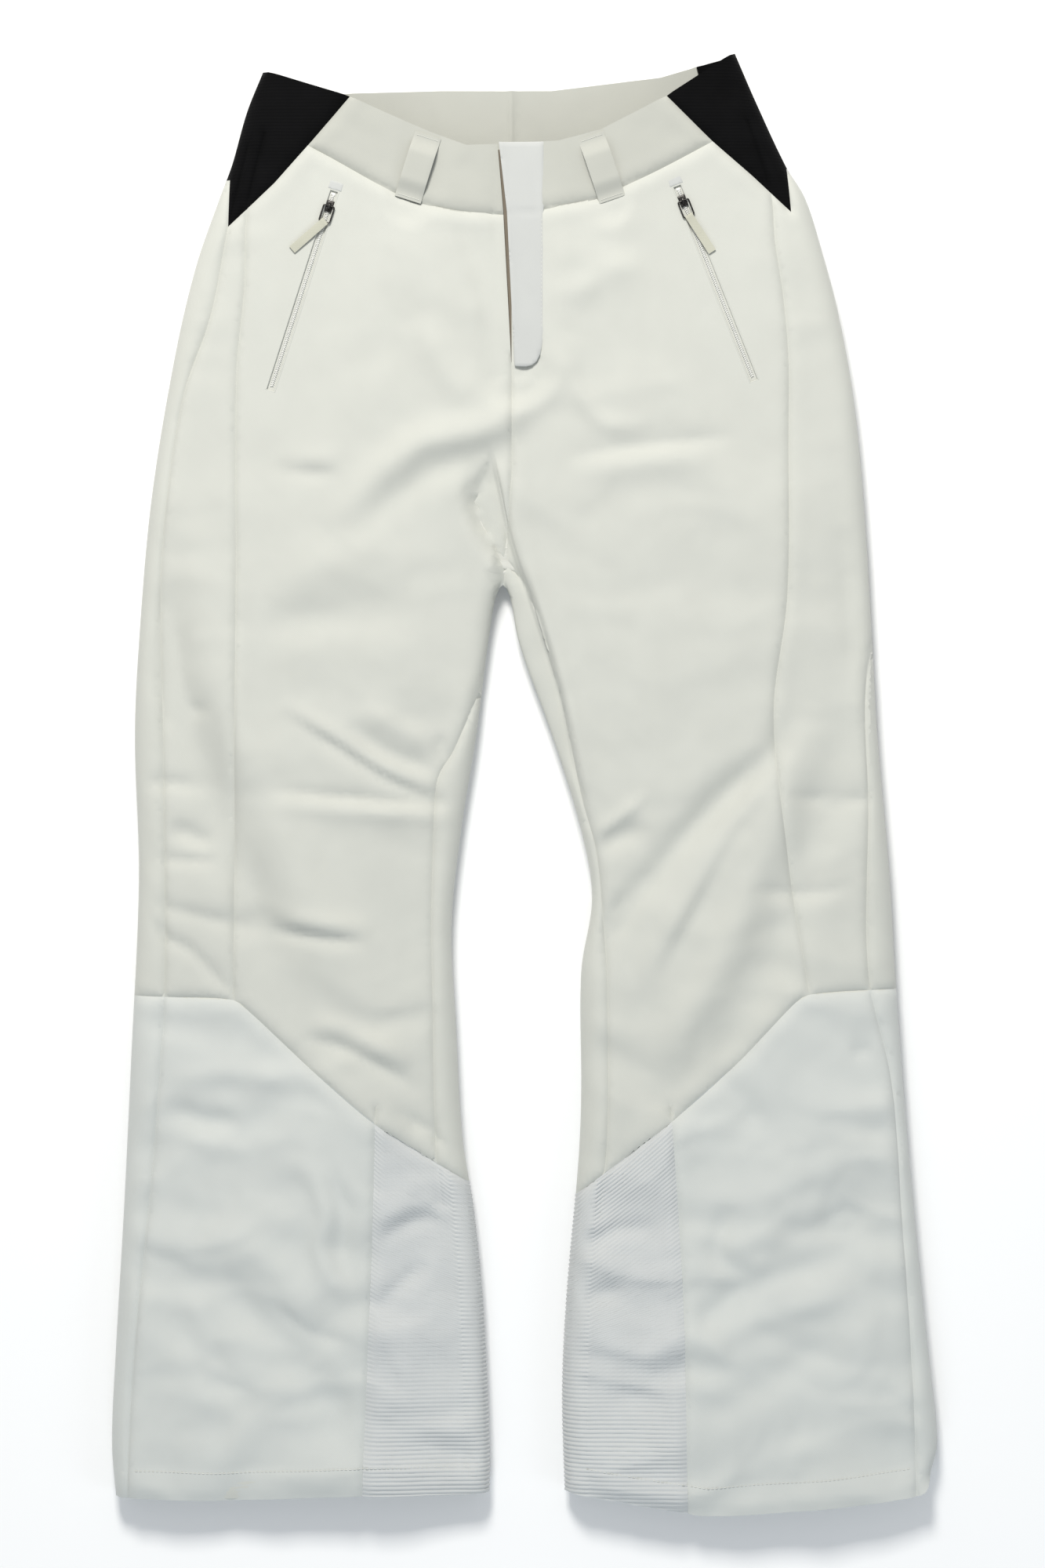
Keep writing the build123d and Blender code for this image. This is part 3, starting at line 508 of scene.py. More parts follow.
def cloth_plan(outline, lines, cell):
    """Triangles over the outline with the lines as edges: (vertices, triangles)."""
    rng = np.random.default_rng(7)
    low, high = outline.min(0), outline.max(0)
    xs = np.arange(low[0], high[0], cell)
    ys = np.arange(low[1], high[1], cell * 0.866)
    gx, gy = np.meshgrid(xs, ys)
    gx = gx + (np.arange(len(ys)) % 2)[:, None] * cell / 2
    grid = np.stack([gx.ravel(), gy.ravel()], 1) + rng.uniform(-0.18, 0.18, (gx.size, 2)) * cell
    grid = grid[side_distance(grid) > 14.5]
    rings = np.concatenate([shifted(line, by) for line in SIDES_LINES for d in SIDE_RINGS for by in (d, -d)])
    free = np.concatenate([grid, rings])
    free = free[inside(free, outline)]
    free = free[nearest(free, lines + [looped(outline)]) > 0.28]
    free = free[nearest(free, lines) > 2.9]
    free = np.concatenate([free] + [shifted(line, by) for line in lines for by in SEAM_RINGS])
    free = free[inside(free, outline)]
    free = free[(nearest(free, lines) > 0.75) & (nearest(free, [looped(outline)]) > 0.28)]
    edges, start = [], 0
    for line in lines:
        edges += [(start + i, start + i + 1) for i in range(len(line) - 1)]
        start += len(line)
    edges += [(start + i, start + (i + 1) % len(outline)) for i in range(len(outline))]
    v, t = delaunay(np.concatenate(lines + [outline, free]), edges, 0.02)
    return v, t[inside(v[t].mean(1), outline)]


def closed_outline(waist):
    """The whole garment's outline, with the front's or the back's waist line."""
    outer_right, inner, outer_left = SIDES_LINES
    parts = [outer_right, straight_line(HEM_RIGHT), inner, smooth_line(HEM_LEFT), outer_left,
             straight_line(waist)]
    return np.concatenate([p[:-1] for p in parts])


def beside(centres, line, sign):
    line = np.array(line, float)
    within = (centres[:, 1] < line[:, 1].max()) & (centres[:, 1] > line[:, 1].min())
    return within & ((centres[:, 0] - x_on(line, centres[:, 1])) * sign > 0)


def blank_labels(c):
    """No name yet for any triangle, and a function that names the ones that still have none."""
    label = np.full(len(c), "", dtype=object)

    def mark(where, name):
        label[(label == "") & where] = name

    return label, mark


def front_labels(c):
    """The piece that each triangle of the front belongs to, from its centre. The guards are made apart."""
    label, mark = blank_labels(c)
    for side, leg in LEGS.items():
        mark(inside(c, np.array(leg["gusset"])), f"stretch_gusset_{side}")
    mark(inside(c, np.array(FLY_WINDOW, float)), "none")
    for side in LEGS:
        mark(inside(c, pocket_slot(side)[:4]), "none")
    waist = c[:, 1] > y_on(WAIST_SEAM, c[:, 0])
    mark(waist & (c[:, 0] < 0), "front_waistband_right")
    mark(waist, "front_waistband_left")
    for side, leg in LEGS.items():
        sign = leg["sign"]
        mine = (c[:, 0] - x_on(CENTRE_FRONT, c[:, 1])) * sign > 0
        lower = mine & (c[:, 1] < y_on(leg["lower_seam"], c[:, 0]))
        mark(lower & beside(c, leg["guard_edge"], -sign), "none")
        mark(lower & beside(c, leg["outseam"], sign), f"lower_back_panel_{side}")
        mark(lower, f"lower_front_panel_{side}")
        mark(mine & beside(c, leg["outseam"], sign), f"back_panel_{side}")
        mark(mine & beside(c, leg["inseam"], -sign), f"back_panel_{side}")
        mark(mine & beside(c, leg["front_seam"], sign), f"side_panel_{side}")
        mark(mine, f"front_panel_{side}")
    return label


def back_labels(c):
    label, mark = blank_labels(c)
    for side, leg in LEGS.items():
        mark(inside(c, np.array(leg["back_gusset"])), f"stretch_gusset_{side}")
    mark(c[:, 1] > y_on(BACK_WAIST_SEAM, c[:, 0]), "back_waistband")
    for side, leg in LEGS.items():
        sign = leg["sign"]
        mine = (c[:, 0] - x_on(CENTRE_BACK, c[:, 1])) * sign > 0
        low = y_on(leg["lower_seam"], c[:, 0])
        edge = leg["guard_back"]
        guard = (c[:, 1] < low) & ((c[:, 0] - edge) * sign < 0)
        mark(mine & guard, "none")
        mark(mine & (c[:, 1] < y_on(leg["back_lower_seam"], c[:, 0])), f"lower_back_panel_{side}")
        mark(mine, f"back_panel_{side}")
    return label


# ---------------------------------------------------------------- meshes
def object_from(name, verts_mm, faces):
    mesh = bpy.data.meshes.new(name)
    mesh.from_pydata([tuple(v) for v in np.asarray(verts_mm, float) * MM], [], [tuple(f) for f in faces])
    mesh.validate()
    mesh.update()
    obj = bpy.data.objects.new(name, mesh)
    bpy.context.scene.collection.objects.link(obj)
    return obj


def finish_mesh(obj, thickness=0.0, merge=0.02, smooth=True, orient=False):
    """Welds, thickens the cloth inwards and shades it smooth."""
    bm = bmesh.new()
    bm.from_mesh(obj.data)
    bmesh.ops.remove_doubles(bm, verts=bm.verts, dist=merge * MM)
    bmesh.ops.dissolve_degenerate(bm, edges=bm.edges, dist=0.002 * MM)
    loose = [v for v in bm.verts if not v.link_faces]
    bmesh.ops.delete(bm, geom=loose, context="VERTS")
    if orient:
        bmesh.ops.recalc_face_normals(bm, faces=bm.faces)
    bm.normal_update()
    if thickness:
        bmesh.ops.solidify(bm, geom=bm.faces, thickness=thickness * MM)
        bmesh.ops.recalc_face_normals(bm, faces=bm.faces)
    for face in bm.faces:
        face.smooth = smooth
    for edge in bm.edges:
        if len(edge.link_faces) == 2 and edge.calc_face_angle(0) > SHARP_EDGE:
            edge.smooth = False
    bm.to_mesh(obj.data)
    bm.free()
    return obj


def place(obj, finish, nodes=(), slot=None, body=SHELL):
    """Gives a piece its finish, hides the CAD nodes it stands for, lists it as cloth when its slot is a cloth
    slot, and hangs it on the body it rides on.
    """
    slot = slot or finish
    obj.data.materials.clear()
    obj.data.materials.append(MATERIALS[finish])
    if nodes:
        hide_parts(*nodes)
        if slot in CLOTH_SLOTS:
            cloth_made.append((obj, nodes[0]))
    if body:
        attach(obj, body)
    return obj


def cloth_pieces():
    """Every flat-laid shell piece but the ribbed guards: {node: [(vertices, triangles), ...]}."""
    slots = [straight_line([tuple(p) for p in pocket_slot(side)]) for side in LEGS]
    lines = FRONT_LINES + slots + [shifted(TUCK, by) for by in (-3.2, -1.3, 0.8, 3.4, 7.0)]
    front = (FRONT_WAIST, lines, GRID, front_height, front_labels, 1)
    back = (BACK_WAIST, BACK_LINES, BACK_GRID, back_height, back_labels, -1)
    pieces = {}
    for waist, lines, cell, height, labelled, up in (front, back):
        v, t = cloth_plan(closed_outline(waist), lines, cell)
        labels = labelled(v[t].mean(1))
        t = facing(v, t, up)
        surface = np.column_stack([v, height(v)])
        for name in sorted(set(labels) - {"", "none"}):
            pieces.setdefault(name, []).append((surface, t[labels == name]))
    return pieces


def joined(layers):
    """The layers of one piece as one mesh, without the vertices they don't use."""
    verts, faces, start = [], [], 0
    for v, t in layers:
        used = np.unique(t)
        index = np.full(len(v), -1)
        index[used] = np.arange(len(used)) + start
        verts.append(v[used])
        faces.append(index[t])
        start += len(used)
    return np.concatenate(verts), np.concatenate(faces)


def grid_faces(rows, columns, closed=False, wrapped=False):
    """Quads over rows of vertices. closed joins the last column to the first, and wrapped the last row."""
    faces = []
    for r in range(rows if wrapped else rows - 1):
        this, after = r * columns, (r + 1) % rows * columns
        for c in range(columns if closed else columns - 1):
            d = (c + 1) % columns
            faces.append((this + c, this + d, after + d, after + c))
    return faces


def guard_mesh(side):
    """The ribbed guard: from its seam on the front, round the inner edge, to its seam on the back."""
    leg = LEGS[side]
    sign = leg["sign"]
    inner = smooth_line(leg["inner"])
    rows = 520
    last = 1 - 0.2 * np.cos(np.linspace(0, math.pi / 2, 9))[1:]
    front_share = 1 - np.concatenate([np.linspace(0, 0.8, 16), last])
    columns = []
    for share, below in [(s, False) for s in front_share] + [(s, True) for s in front_share[::-1][1:]]:
        v = np.linspace(0, 1, rows)
        y = np.full(rows, -400.0)
        x = np.full(rows, sign * 80.0)
        for _ in range(6):
            edge = np.full(rows, leg["guard_back"]) if below else x_on(smooth_line(leg["guard_edge"]), y)
            side_x = x_on(inner, y)
            x = side_x + (edge - side_x) * share
            top = y_on(leg["lower_seam"], x)
            y = top + v * (y_on(leg["hem"], x) - top)
        plan = np.stack([x, y], 1)
        z = back_height(plan) if below else front_height(plan)
        if share == 0:
            z[:] = MID
        columns.append(np.column_stack([plan, z]))
    surface = np.stack(columns, 1)
    across = np.gradient(surface, axis=1)
    along = np.gradient(surface, axis=0)
    normal = np.cross(across, along)
    normal /= np.linalg.norm(normal, axis=2)[:, :, None] + 1e-12
    if normal[rows // 2, 2, 2] < 0:
        normal = -normal
    rib = np.abs(np.sin(math.pi * surface[:, :, 1] / RIB_PITCH)) ** 0.8 - 0.55
    at = np.arange(surface.shape[1])
    fade = smoothstep(at, 0, 1.5) * smoothstep(at[-1] - at, 0, 1.5)
    surface = surface + normal * (rib * fade[None, :] * RIB_DEPTH)[:, :, None]
    surface[:, :, 2] = np.maximum(surface[:, :, 2], 0.15)
    faces = grid_faces(rows, surface.shape[1])
    if sign < 0:
        faces = [face[::-1] for face in faces]
    return object_from(f"scuff_guard_{side}_ribbed", surface.reshape(-1, 3), faces)


def ring_tube(name, side, ends, inset, heights, wall, rows, around, gather, hips=False):
    """A flattened tube inside a leg. With hips, it opens into half the hips above the crotch."""
    leg = LEGS[side]
    (y0, y1), (low, top) = ends, heights
    outer_line = smooth_line(leg["outer"])
    inner_line = smooth_line(leg["inner"])
    verts = []
    for r in range(rows):
        share = r / (rows - 1)
        for k in range(around + 1):
            u = k / around
            y = y0 + (y1 - y0) * share
            open_hips = smoothstep(y, HIP_LOW, HIP_TOP) if hips else 0.0
            outer = x_on(outer_line, y) - leg["sign"] * inset
            inner = x_on(inner_line, min(y, 139)) + leg["sign"] * inset
            centre = (outer + inner) / 2
            half = (outer - inner) / 2
            centre = centre * (1 - open_hips) + HIP_CENTRE * open_hips
            half = half * (1 - open_hips) + (outer - HIP_CENTRE) * open_hips
            start = math.pi * (1 - 0.5 * open_hips)
            angle = start * (1 - 2 * u)
            c, s = math.cos(angle), math.sin(angle)
            x = centre + half * math.copysign(abs(c) ** 0.16, c) if abs(c) > 1e-6 else centre
            z = (low + top) / 2 + (top - low) / 2 * math.copysign(abs(s) ** 0.5, s)
            wave = noise.noise(Vector((x / 34, y / 48, 4.0 + leg["sign"])))
            verts.append((x, y, z + wave * gather * abs(s)))
    verts = np.array(verts)
    under_front = front_height(verts[:, :2], False) - CLOTH - LINING_UNDER_FRONT
    over_back = back_height(verts[:, :2]) + CLOTH + LINING_OVER_BACK
    verts[:, 2] = np.clip(verts[:, 2], over_back, np.maximum(under_front, over_back))
    obj = object_from(name, verts, grid_faces(rows, around + 1))
    return finish_mesh(obj, wall, orient=True)


def slab(name, outline, low, high, step, bevel=0.35, lift=None):
    """A flat piece of cloth with rounded edges, cut to an outline."""
    outline = np.array(outline, float)
    edge = straight_line([tuple(p) for p in outline] + [tuple(outline[0])], step)[:-1]
    grid_x, grid_y = np.meshgrid(np.arange(edge[:, 0].min(), edge[:, 0].max(), step),
                                 np.arange(edge[:, 1].min(), edge[:, 1].max(), step))
    free = np.stack([grid_x.ravel(), grid_y.ravel()], 1)
    free = free[inside(free, edge)]
    free = free[nearest(free, [looped(edge)]) > max(bevel * 1.6, step * 0.4)]
    tangent = np.roll(edge, -1, 0) - np.roll(edge, 1, 0)
    tangent /= np.linalg.norm(tangent, axis=1)[:, None]
    turn = np.sign(np.sum(np.cross(edge, np.roll(edge, -1, 0))))
    ring = edge + np.stack([-tangent[:, 1], tangent[:, 0]], 1) * turn * bevel
    n = len(edge)
    v, t = delaunay(np.concatenate([edge, ring, free]), [(i, (i + 1) % n) for i in range(n)], 0.001)
    t = facing(v, t[inside(v[t].mean(1), edge)], 1)
    d = nearest(v, [looped(edge)])
    round_off = (high - low) * 0.3 * (1 - smoothstep(d, 0, bevel))
    extra = lift(v) if lift else np.zeros(len(v))
    upper = np.column_stack([v, high - round_off + extra])
    lower = np.column_stack([v, low + round_off + extra])
    count = len(v)
    on_edge = d < 1e-4
    faces = [tuple(f) for f in t] + [tuple(f[::-1] + count) for f in t]
    sides = set()
    for f in t:
        for a, b in ((f[0], f[1]), (f[1], f[2]), (f[2], f[0])):
            if on_edge[a] and on_edge[b]:
                if (b, a) in sides:
                    sides.discard((b, a))
                else:
                    sides.add((a, b))
    faces += [(b, a, a + count, b + count) for a, b in sides]
    return finish_mesh(object_from(name, np.vstack([upper, lower]), faces))


def rectangle(x0, y0, x1, y1):
    return [(x0, y0), (x1, y0), (x1, y1), (x0, y1)]


def wire(points, radius, sides=8, closed=False):
    """Vertices and faces of a round tube through points (mm)."""
    pts = np.array(points, float)
    n = len(pts)
    tangent = (np.roll(pts, -1, 0) - np.roll(pts, 1, 0)) if closed else np.gradient(pts, axis=0)
    tangent /= np.linalg.norm(tangent, axis=1)[:, None]
    up = np.array([0.0, 0.0, 1.0])
    verts = []
    for p, t in zip(pts, tangent):
        a = np.cross(t, up)
        if np.linalg.norm(a) < 0.2:
            a = np.cross(t, np.array([1.0, 0.0, 0.0]))
        a /= np.linalg.norm(a)
        b = np.cross(a, t)
        for k in range(sides):
            angle = 2 * math.pi * k / sides
            verts.append(p + radius * (a * math.cos(angle) + b * math.sin(angle)))
    faces = grid_faces(n, sides, True, closed)
    if not closed:
        faces.append(tuple(range(sides))[::-1])
        faces.append(tuple((n - 1) * sides + k for k in range(sides)))
    return np.array(verts), faces


def solid(name, verts, faces):
    """An object of closed parts, which need no thickness."""
    return finish_mesh(object_from(name, verts, faces), merge=FINE_WELD)


def merged(parts):
    verts, faces, start = [], [], 0
    for v, f in parts:
        verts.append(v)
        faces += [tuple(i + start for i in face) for face in f]
        start += len(v)
    return np.concatenate(verts), faces


def stitches(name, line, height, pitch=3.1, length=2.2, radius=0.3):
    """A row of stitches along a plan line. height gives the cloth's surface at plan points."""
    line = np.array(line, float)
    gaps = np.linalg.norm(np.diff(line, axis=0), axis=1)
    at = np.concatenate([[0], np.cumsum(gaps)])
    starts = np.arange(pitch / 2, at[-1] - length, pitch)
    along = (starts[:, None] + np.array([0, 0.22, 0.5, 0.78, 1.0]) * length).ravel()
    plan = np.stack([np.interp(along, at, line[:, 0]), np.interp(along, at, line[:, 1])], 1)
    sink = np.tile(np.array([-0.25, 0.12, 0.22, 0.12, -0.25]) * radius / 0.3, len(starts))
    points = np.column_stack([plan, height(plan) + sink]).reshape(-1, 5, 3)
    return solid(name, *merged([wire(p, radius, 6) for p in points]))


def in_pocket(side, points):
    """Points in a zip's frame (x across, y up the zip, z above the cloth) moved to the pants."""
    points = np.array(points, float)
    plan = turned(points[:, :2], LEGS[side]["pocket_top"], LEGS[side]["pocket_turn"])
    return np.column_stack([plan, points[:, 2] + THICK])


def coil_parts(y0, y1, half, low, high, pitch=1.45):
    """The two interlocked rows of a nylon coil, in a frame with the coil along Y."""
    parts = []
    count = int((y1 - y0) / pitch)
    for row in (-1, 1):
        path = []
        for k in range(count * 8):
            turn = 2 * math.pi * k / 8
            x = row * (half * 0.5 + half * 0.62 * math.cos(turn) * 0.9)
            z = (low + high) / 2 + (high - low) * 0.34 * math.sin(turn)
            path.append((x, y0 + pitch * (k / 8 + (0.25 if row > 0 else 0)), z))
        parts.append(wire(path, 0.27, 5))
    return merged(parts)


# ---------------------------------------------------------------- materials
def new_material(name):
    material = bpy.data.materials.new(name)
    material.use_nodes = True
    tree = material.node_tree
    shader = tree.nodes["Principled BSDF"]
    return material, tree, shader


def add(tree, kind, **values):
    node = tree.nodes.new(kind)
    for key, value in values.items():
        if hasattr(node, key):
            setattr(node, key, value)
        else:
            node.inputs[key].default_value = value
    return node


def wave_bands(tree, pitch_mm, turn, distortion=1.2):
    mapping = add(tree, "ShaderNodeMapping")
    mapping.inputs["Rotation"].default_value = (0, 0, math.radians(turn))
    scale = 2 * math.pi / 20 / (pitch_mm * MM)
    wave = add(tree, "ShaderNodeTexWave", Scale=scale, Distortion=distortion, Detail=1.0)
    wave.inputs["Detail Scale"].default_value = 2.0
    tree.links.new(tree.nodes["Texture Coordinate"].outputs["Object"], mapping.inputs["Vector"])
    tree.links.new(mapping.outputs["Vector"], wave.inputs["Vector"])
    return wave.outputs["Fac"]


def math_node(tree, operation, a, b):
    node = add(tree, "ShaderNodeMath", operation=operation)
    for i, value in enumerate((a, b)):
        if isinstance(value, (int, float)):
            node.inputs[i].default_value = value
        else:
            tree.links.new(value, node.inputs[i])
    return node.outputs[0]


def texture(tree, scale, detail, **more):
    coords = tree.nodes.get("Texture Coordinate") or add(tree, "ShaderNodeTexCoord")
    node = add(tree, "ShaderNodeTexNoise", Scale=scale, Detail=detail, **more)
    tree.links.new(coords.outputs["Object"], node.inputs["Vector"])
    return node.outputs["Fac"]


def ramp(tree, factor, low, high, start=0.0, end=1.0):
    node = add(tree, "ShaderNodeValToRGB")
    for element, position, colour in zip(node.color_ramp.elements, (start, end), (low, high)):
        element.position = position
        element.color = (*colour, 1)
    tree.links.new(factor, node.inputs["Fac"])
    return node.outputs["Color"]


def spread(tree, factor, low, high):
    node = add(tree, "ShaderNodeMapRange")
    node.inputs["To Min"].default_value = low
    node.inputs["To Max"].default_value = high
    tree.links.new(factor, node.inputs["Value"])
    return node.outputs["Result"]


def wire_up(tree, shader, colour, roughness, height, strength, depth_mm):
    """Colour, roughness and bumps of a shader."""
    bumps = add(tree, "ShaderNodeBump", Strength=strength, Distance=depth_mm * MM)
    tree.links.new(height, bumps.inputs["Height"])
    tree.links.new(bumps.outputs["Normal"], shader.inputs["Normal"])
    tree.links.new(colour, shader.inputs["Base Color"])
    tree.links.new(roughness, shader.inputs["Roughness"])


def fabric(name, colour, pitch=0.8, turns=(45, -45), bump=0.25, rough=0.72, sheen=0.2, mottle=0.03,
           extra_pitch=None, gloss=0.28):
    """Woven cloth: crossed yarns, slubs, a slight unevenness of colour and a soft sheen."""
    material, tree, shader = new_material(name)
    slubs = texture(tree, 900.0, 2.0)
    broad = texture(tree, 14.0, 4.0, Roughness=0.55)
    grime = texture(tree, 55.0, 3.0)
    warp, weft = (wave_bands(tree, pitch * wider, turn) for wider, turn in zip((1, 1.25), turns))
    yarn = math_node(tree, "MULTIPLY", math_node(tree, "ADD", warp, weft), 0.5)
    relief = math_node(tree, "MULTIPLY", math_node(tree, "ADD", yarn, slubs), 0.5)
    if extra_pitch:
        ribs = wave_bands(tree, extra_pitch, 90, 0.4)
        relief = math_node(tree, "ADD", relief, math_node(tree, "MULTIPLY", ribs, 1.5))
    uneven = math_node(tree, "ADD", math_node(tree, "MULTIPLY", broad, 0.6),
                       math_node(tree, "MULTIPLY", grime, 0.4))
    darker = [c * (1 - 2.2 * mottle) for c in colour]
    lighter = [min(1, c * (1 + mottle)) for c in colour]
    shade = add(tree, "ShaderNodeMix", data_type="RGBA", blend_type="MULTIPLY")
    shade.inputs["Factor"].default_value = 1.0
    tree.links.new(ramp(tree, uneven, darker, lighter, 0.36, 0.64), shade.inputs["A"])
    # darker where the relief is low: partly the weave's own pattern, partly painted shade in its hollows
    tree.links.new(spread(tree, relief, 0.93, 1.02), shade.inputs["B"])
    roughness = spread(tree, uneven, rough - 0.07, rough + 0.09)
    wire_up(tree, shader, shade.outputs["Result"], roughness, relief, bump, 0.12)
    shader.inputs["Sheen Weight"].default_value = sheen
    shader.inputs["Sheen Roughness"].default_value = 0.45
    shader.inputs["Specular IOR Level"].default_value = gloss
    return material


def metal(name, colour, rough):
    """Plated metal with fine scratches and worn, brighter spots."""
    material, tree, shader = new_material(name)
    fine = texture(tree, 2200.0, 3.0)
    bright = [min(1, c * 2.4 + 0.03) for c in colour]
    plated = ramp(tree, texture(tree, 420.0, 4.0), colour, bright, 0.45, 0.75)
    wire_up(tree, shader, plated, spread(tree, fine, rough - 0.1, rough + 0.15), fine, 0.12, 0.05)
    shader.inputs["Metallic"].default_value = 0.9
    return material


def nylon(name, colour):
    material, tree, shader = new_material(name)
    fine = texture(tree, 700.0, 2.0)
    uneven = ramp(tree, fine, [c * 0.93 for c in colour], colour)
    wire_up(tree, shader, uneven, spread(tree, fine, 0.27, 0.45), fine, 0.1, 0.05)
    return material


MATERIALS = {
    "shell_cloth": fabric("shell_twill", (0.578, 0.585, 0.538), mottle=0.012),
    # a bluer, lighter copy of the shell twill for the lower legs: painted cool light, the same cloth as the
    # shell
    "lower_shell_painted_cool_light": fabric("lower_shell_twill_painted_cool_light", (0.585, 0.603, 0.578), mottle=0.012),
    # the underlap's dark brown is painted shadow for the slit beside the fly flap, not the cloth's own colour
    "underlap": fabric("underlap_painted_shadow", (0.2, 0.17, 0.13)),
    # drawn darker than the shell twill: painted shade for the slope of the waistband
    "waist_cloth": fabric("waist_twill_painted_shade", (0.475, 0.48, 0.435), mottle=0.012),
    "fly_cloth": fabric("fly_twill", (0.528, 0.538, 0.523), mottle=0.01, turns=(40, -50)),
    # its bluish tint, like the lower legs', is painted cool light on the guard's pale weave
    "ribbed_guard": fabric("ribbed_weave_painted_cool_light", (0.575, 0.59, 0.585), pitch=0.9, turns=(0, 90), bump=0.3,
                           mottle=0.015),
    "black_stretch": fabric("black_stretch_rib", (0.0034, 0.0034, 0.0037), pitch=1.1, turns=(90, 88), bump=0.7,
                            rough=0.85, sheen=0.01, mottle=0.2, extra_pitch=2.4, gloss=0.07),
    "lining": fabric("taffeta_lining", (0.66, 0.66, 0.61), pitch=0.5, turns=(0, 90), bump=0.15, rough=0.5),
    "gaiter_cloth": fabric("coated_gaiter", (0.60, 0.60, 0.575), pitch=0.9, turns=(0, 90), bump=0.3,
                           rough=0.55),
    "elastic": fabric("gripper_elastic", (0.55, 0.55, 0.54), pitch=1.6, turns=(90, 90), bump=0.8, rough=0.6),
    "zip_coil": nylon("coil_nylon", (0.88, 0.88, 0.85)),
    "zip_tape": fabric("zip_tape_weave", (0.60, 0.605, 0.56), pitch=1.2, turns=(30, -30), bump=0.6),
    "zip_metal": metal("dark_plating", (0.035, 0.033, 0.031), 0.34),
    "snap_metal": metal("snap_plating", (0.34, 0.33, 0.31), 0.3),
    "strap": fabric("strap_webbing", (0.50, 0.497, 0.41), pitch=0.9, turns=(0, 90), bump=0.8, rough=0.7),
    "thread": fabric("thread", (0.66, 0.665, 0.62), pitch=0.4, turns=(30, 30), bump=0.5),
}
SLOT_OF = {"stretch_gusset": "black_stretch", "front_waistband": "waist_cloth", "back_waistband": "waist_cloth"}
CLOTH_SLOTS = ("shell_cloth", "waist_cloth", "fly_cloth", "ribbed_guard", "black_stretch", "lining",
               "gaiter_cloth", "elastic", "zip_tape")
SMALLEST_CUT = 0.01  # metres; narrower pieces are skipped
cloth_made = []      # (piece, CAD node) of every cloth made


# ---------------------------------------------------------------- the pants
def slot_of(node):
    for start, slot in SLOT_OF.items():
        if node.startswith(start):
            return slot
    return "shell_cloth"


def cut_size(node, turn):
    """Flat width, length and area in metres of the cloth a thin CAD shell stands for.

    A thin wall has two skins, so its area is half its surface. Its width is the most cloth that any section
    across its length crosses, which counts what goes round the edge of the garment. Its length runs along Y,
    turned by some degrees.
    """
    cad = bpy.data.objects[node]
    v = np.array([cad.matrix_world @ p.co for p in cad.data.vertices])
    v[:, :2] = turned(v[:, :2], (0, 0), -turn)
    cad.data.calc_loop_triangles()
    t = v[np.array([list(k.vertices) for k in cad.data.loop_triangles])]
    area = np.linalg.norm(np.cross(t[:, 1] - t[:, 0], t[:, 2] - t[:, 0]), axis=1).sum() / 4
    low, high = v.min(0), v.max(0)
    girth = 0.0
    for level in np.linspace(low[1], high[1], 61)[1:-1] + 1e-6:
        ends = []
        for i, j in ((0, 1), (1, 2), (2, 0)):
            share = (level - t[:, i, 1]) / np.where(t[:, j, 1] == t[:, i, 1], 1e9, t[:, j, 1] - t[:, i, 1])
            crosses = (t[:, i, 1] < level) != (t[:, j, 1] < level)
            ends.append(np.where(crosses[:, None], t[:, i] + share[:, None] * (t[:, j] - t[:, i]), np.nan))
        ends = np.stack(ends)
        hit = np.isfinite(ends[:, :, 0]).sum(0) == 2
        span = np.nanmax(ends[:, hit], axis=0) - np.nanmin(ends[:, hit], axis=0)
        girth = max(girth, np.linalg.norm(span[:, [0, 2]], axis=1).sum() / 2)
    width, length = max(girth, high[0] - low[0]), high[1] - low[1]
    return float(width), float(length), float(min(area, width * length))


def lie(node):
    """The angle from +Y of a piece's length."""
    leg = LEGS["left" if node.endswith("left") else "right"]
    if node.startswith("front_belt_loop"):
        return leg["loop_turn"]
    return leg["pocket_turn"] if node.startswith("pocket") else 0.0


def declare_cloth():
    for piece, node in cloth_made:
        width, length, area = cut_size(node, lie(node))
        if min(width, length) < SMALLEST_CUT:
            continue


def make_shell():
    for node, layers in cloth_pieces().items():
        slot = slot_of(node)
        obj = finish_mesh(object_from(f"{node}_cloth", *joined(layers)), CLOTH, merge=0.3)
        # lower panels take the bluer copy of the shell twill, which is painted cool light
        place(obj, "lower_shell_painted_cool_light" if node.startswith("lower") else slot, [node], slot)
    for side in LEGS:
        obj = finish_mesh(guard_mesh(side), 1.2, merge=0.001)
        place(obj, "ribbed_guard", [f"scuff_guard_{side}"])


def make_inner(side):
    """Lining, gaiter, elastic and hem facing of one leg."""
    hem = float(y_on(LEGS[side]["hem"], LEGS[side]["sign"] * 160))
    lining = ring_tube(f"leg_lining_{side}_cloth", side, (hem + 26, 424), 6.5, (3.0, 17.0),
                       wall=0.7, rows=120, around=72, gather=1.0, hips=True)
    gaiter = ring_tube(f"boot_gaiter_{side}_cloth", side, (hem + 14, hem + 184), 27.0, (4.6, 14.6),
                       wall=0.7, rows=60, around=64, gather=0.9)
    elastic = ring_tube(f"gaiter_elastic_{side}_band", side, (hem + 14, hem + 30), 28.5, (5.8, 13.4),
                        wall=1.0, rows=9, around=90, gather=0.6)
    place(lining, "lining", [f"leg_lining_{side}"])
    place(gaiter, "gaiter_cloth", [f"boot_gaiter_{side}"])
    place(elastic, "elastic", [f"gaiter_elastic_{side}"])
    place(hem_facing(side), "shell_cloth", [f"hem_facing_{side}"])


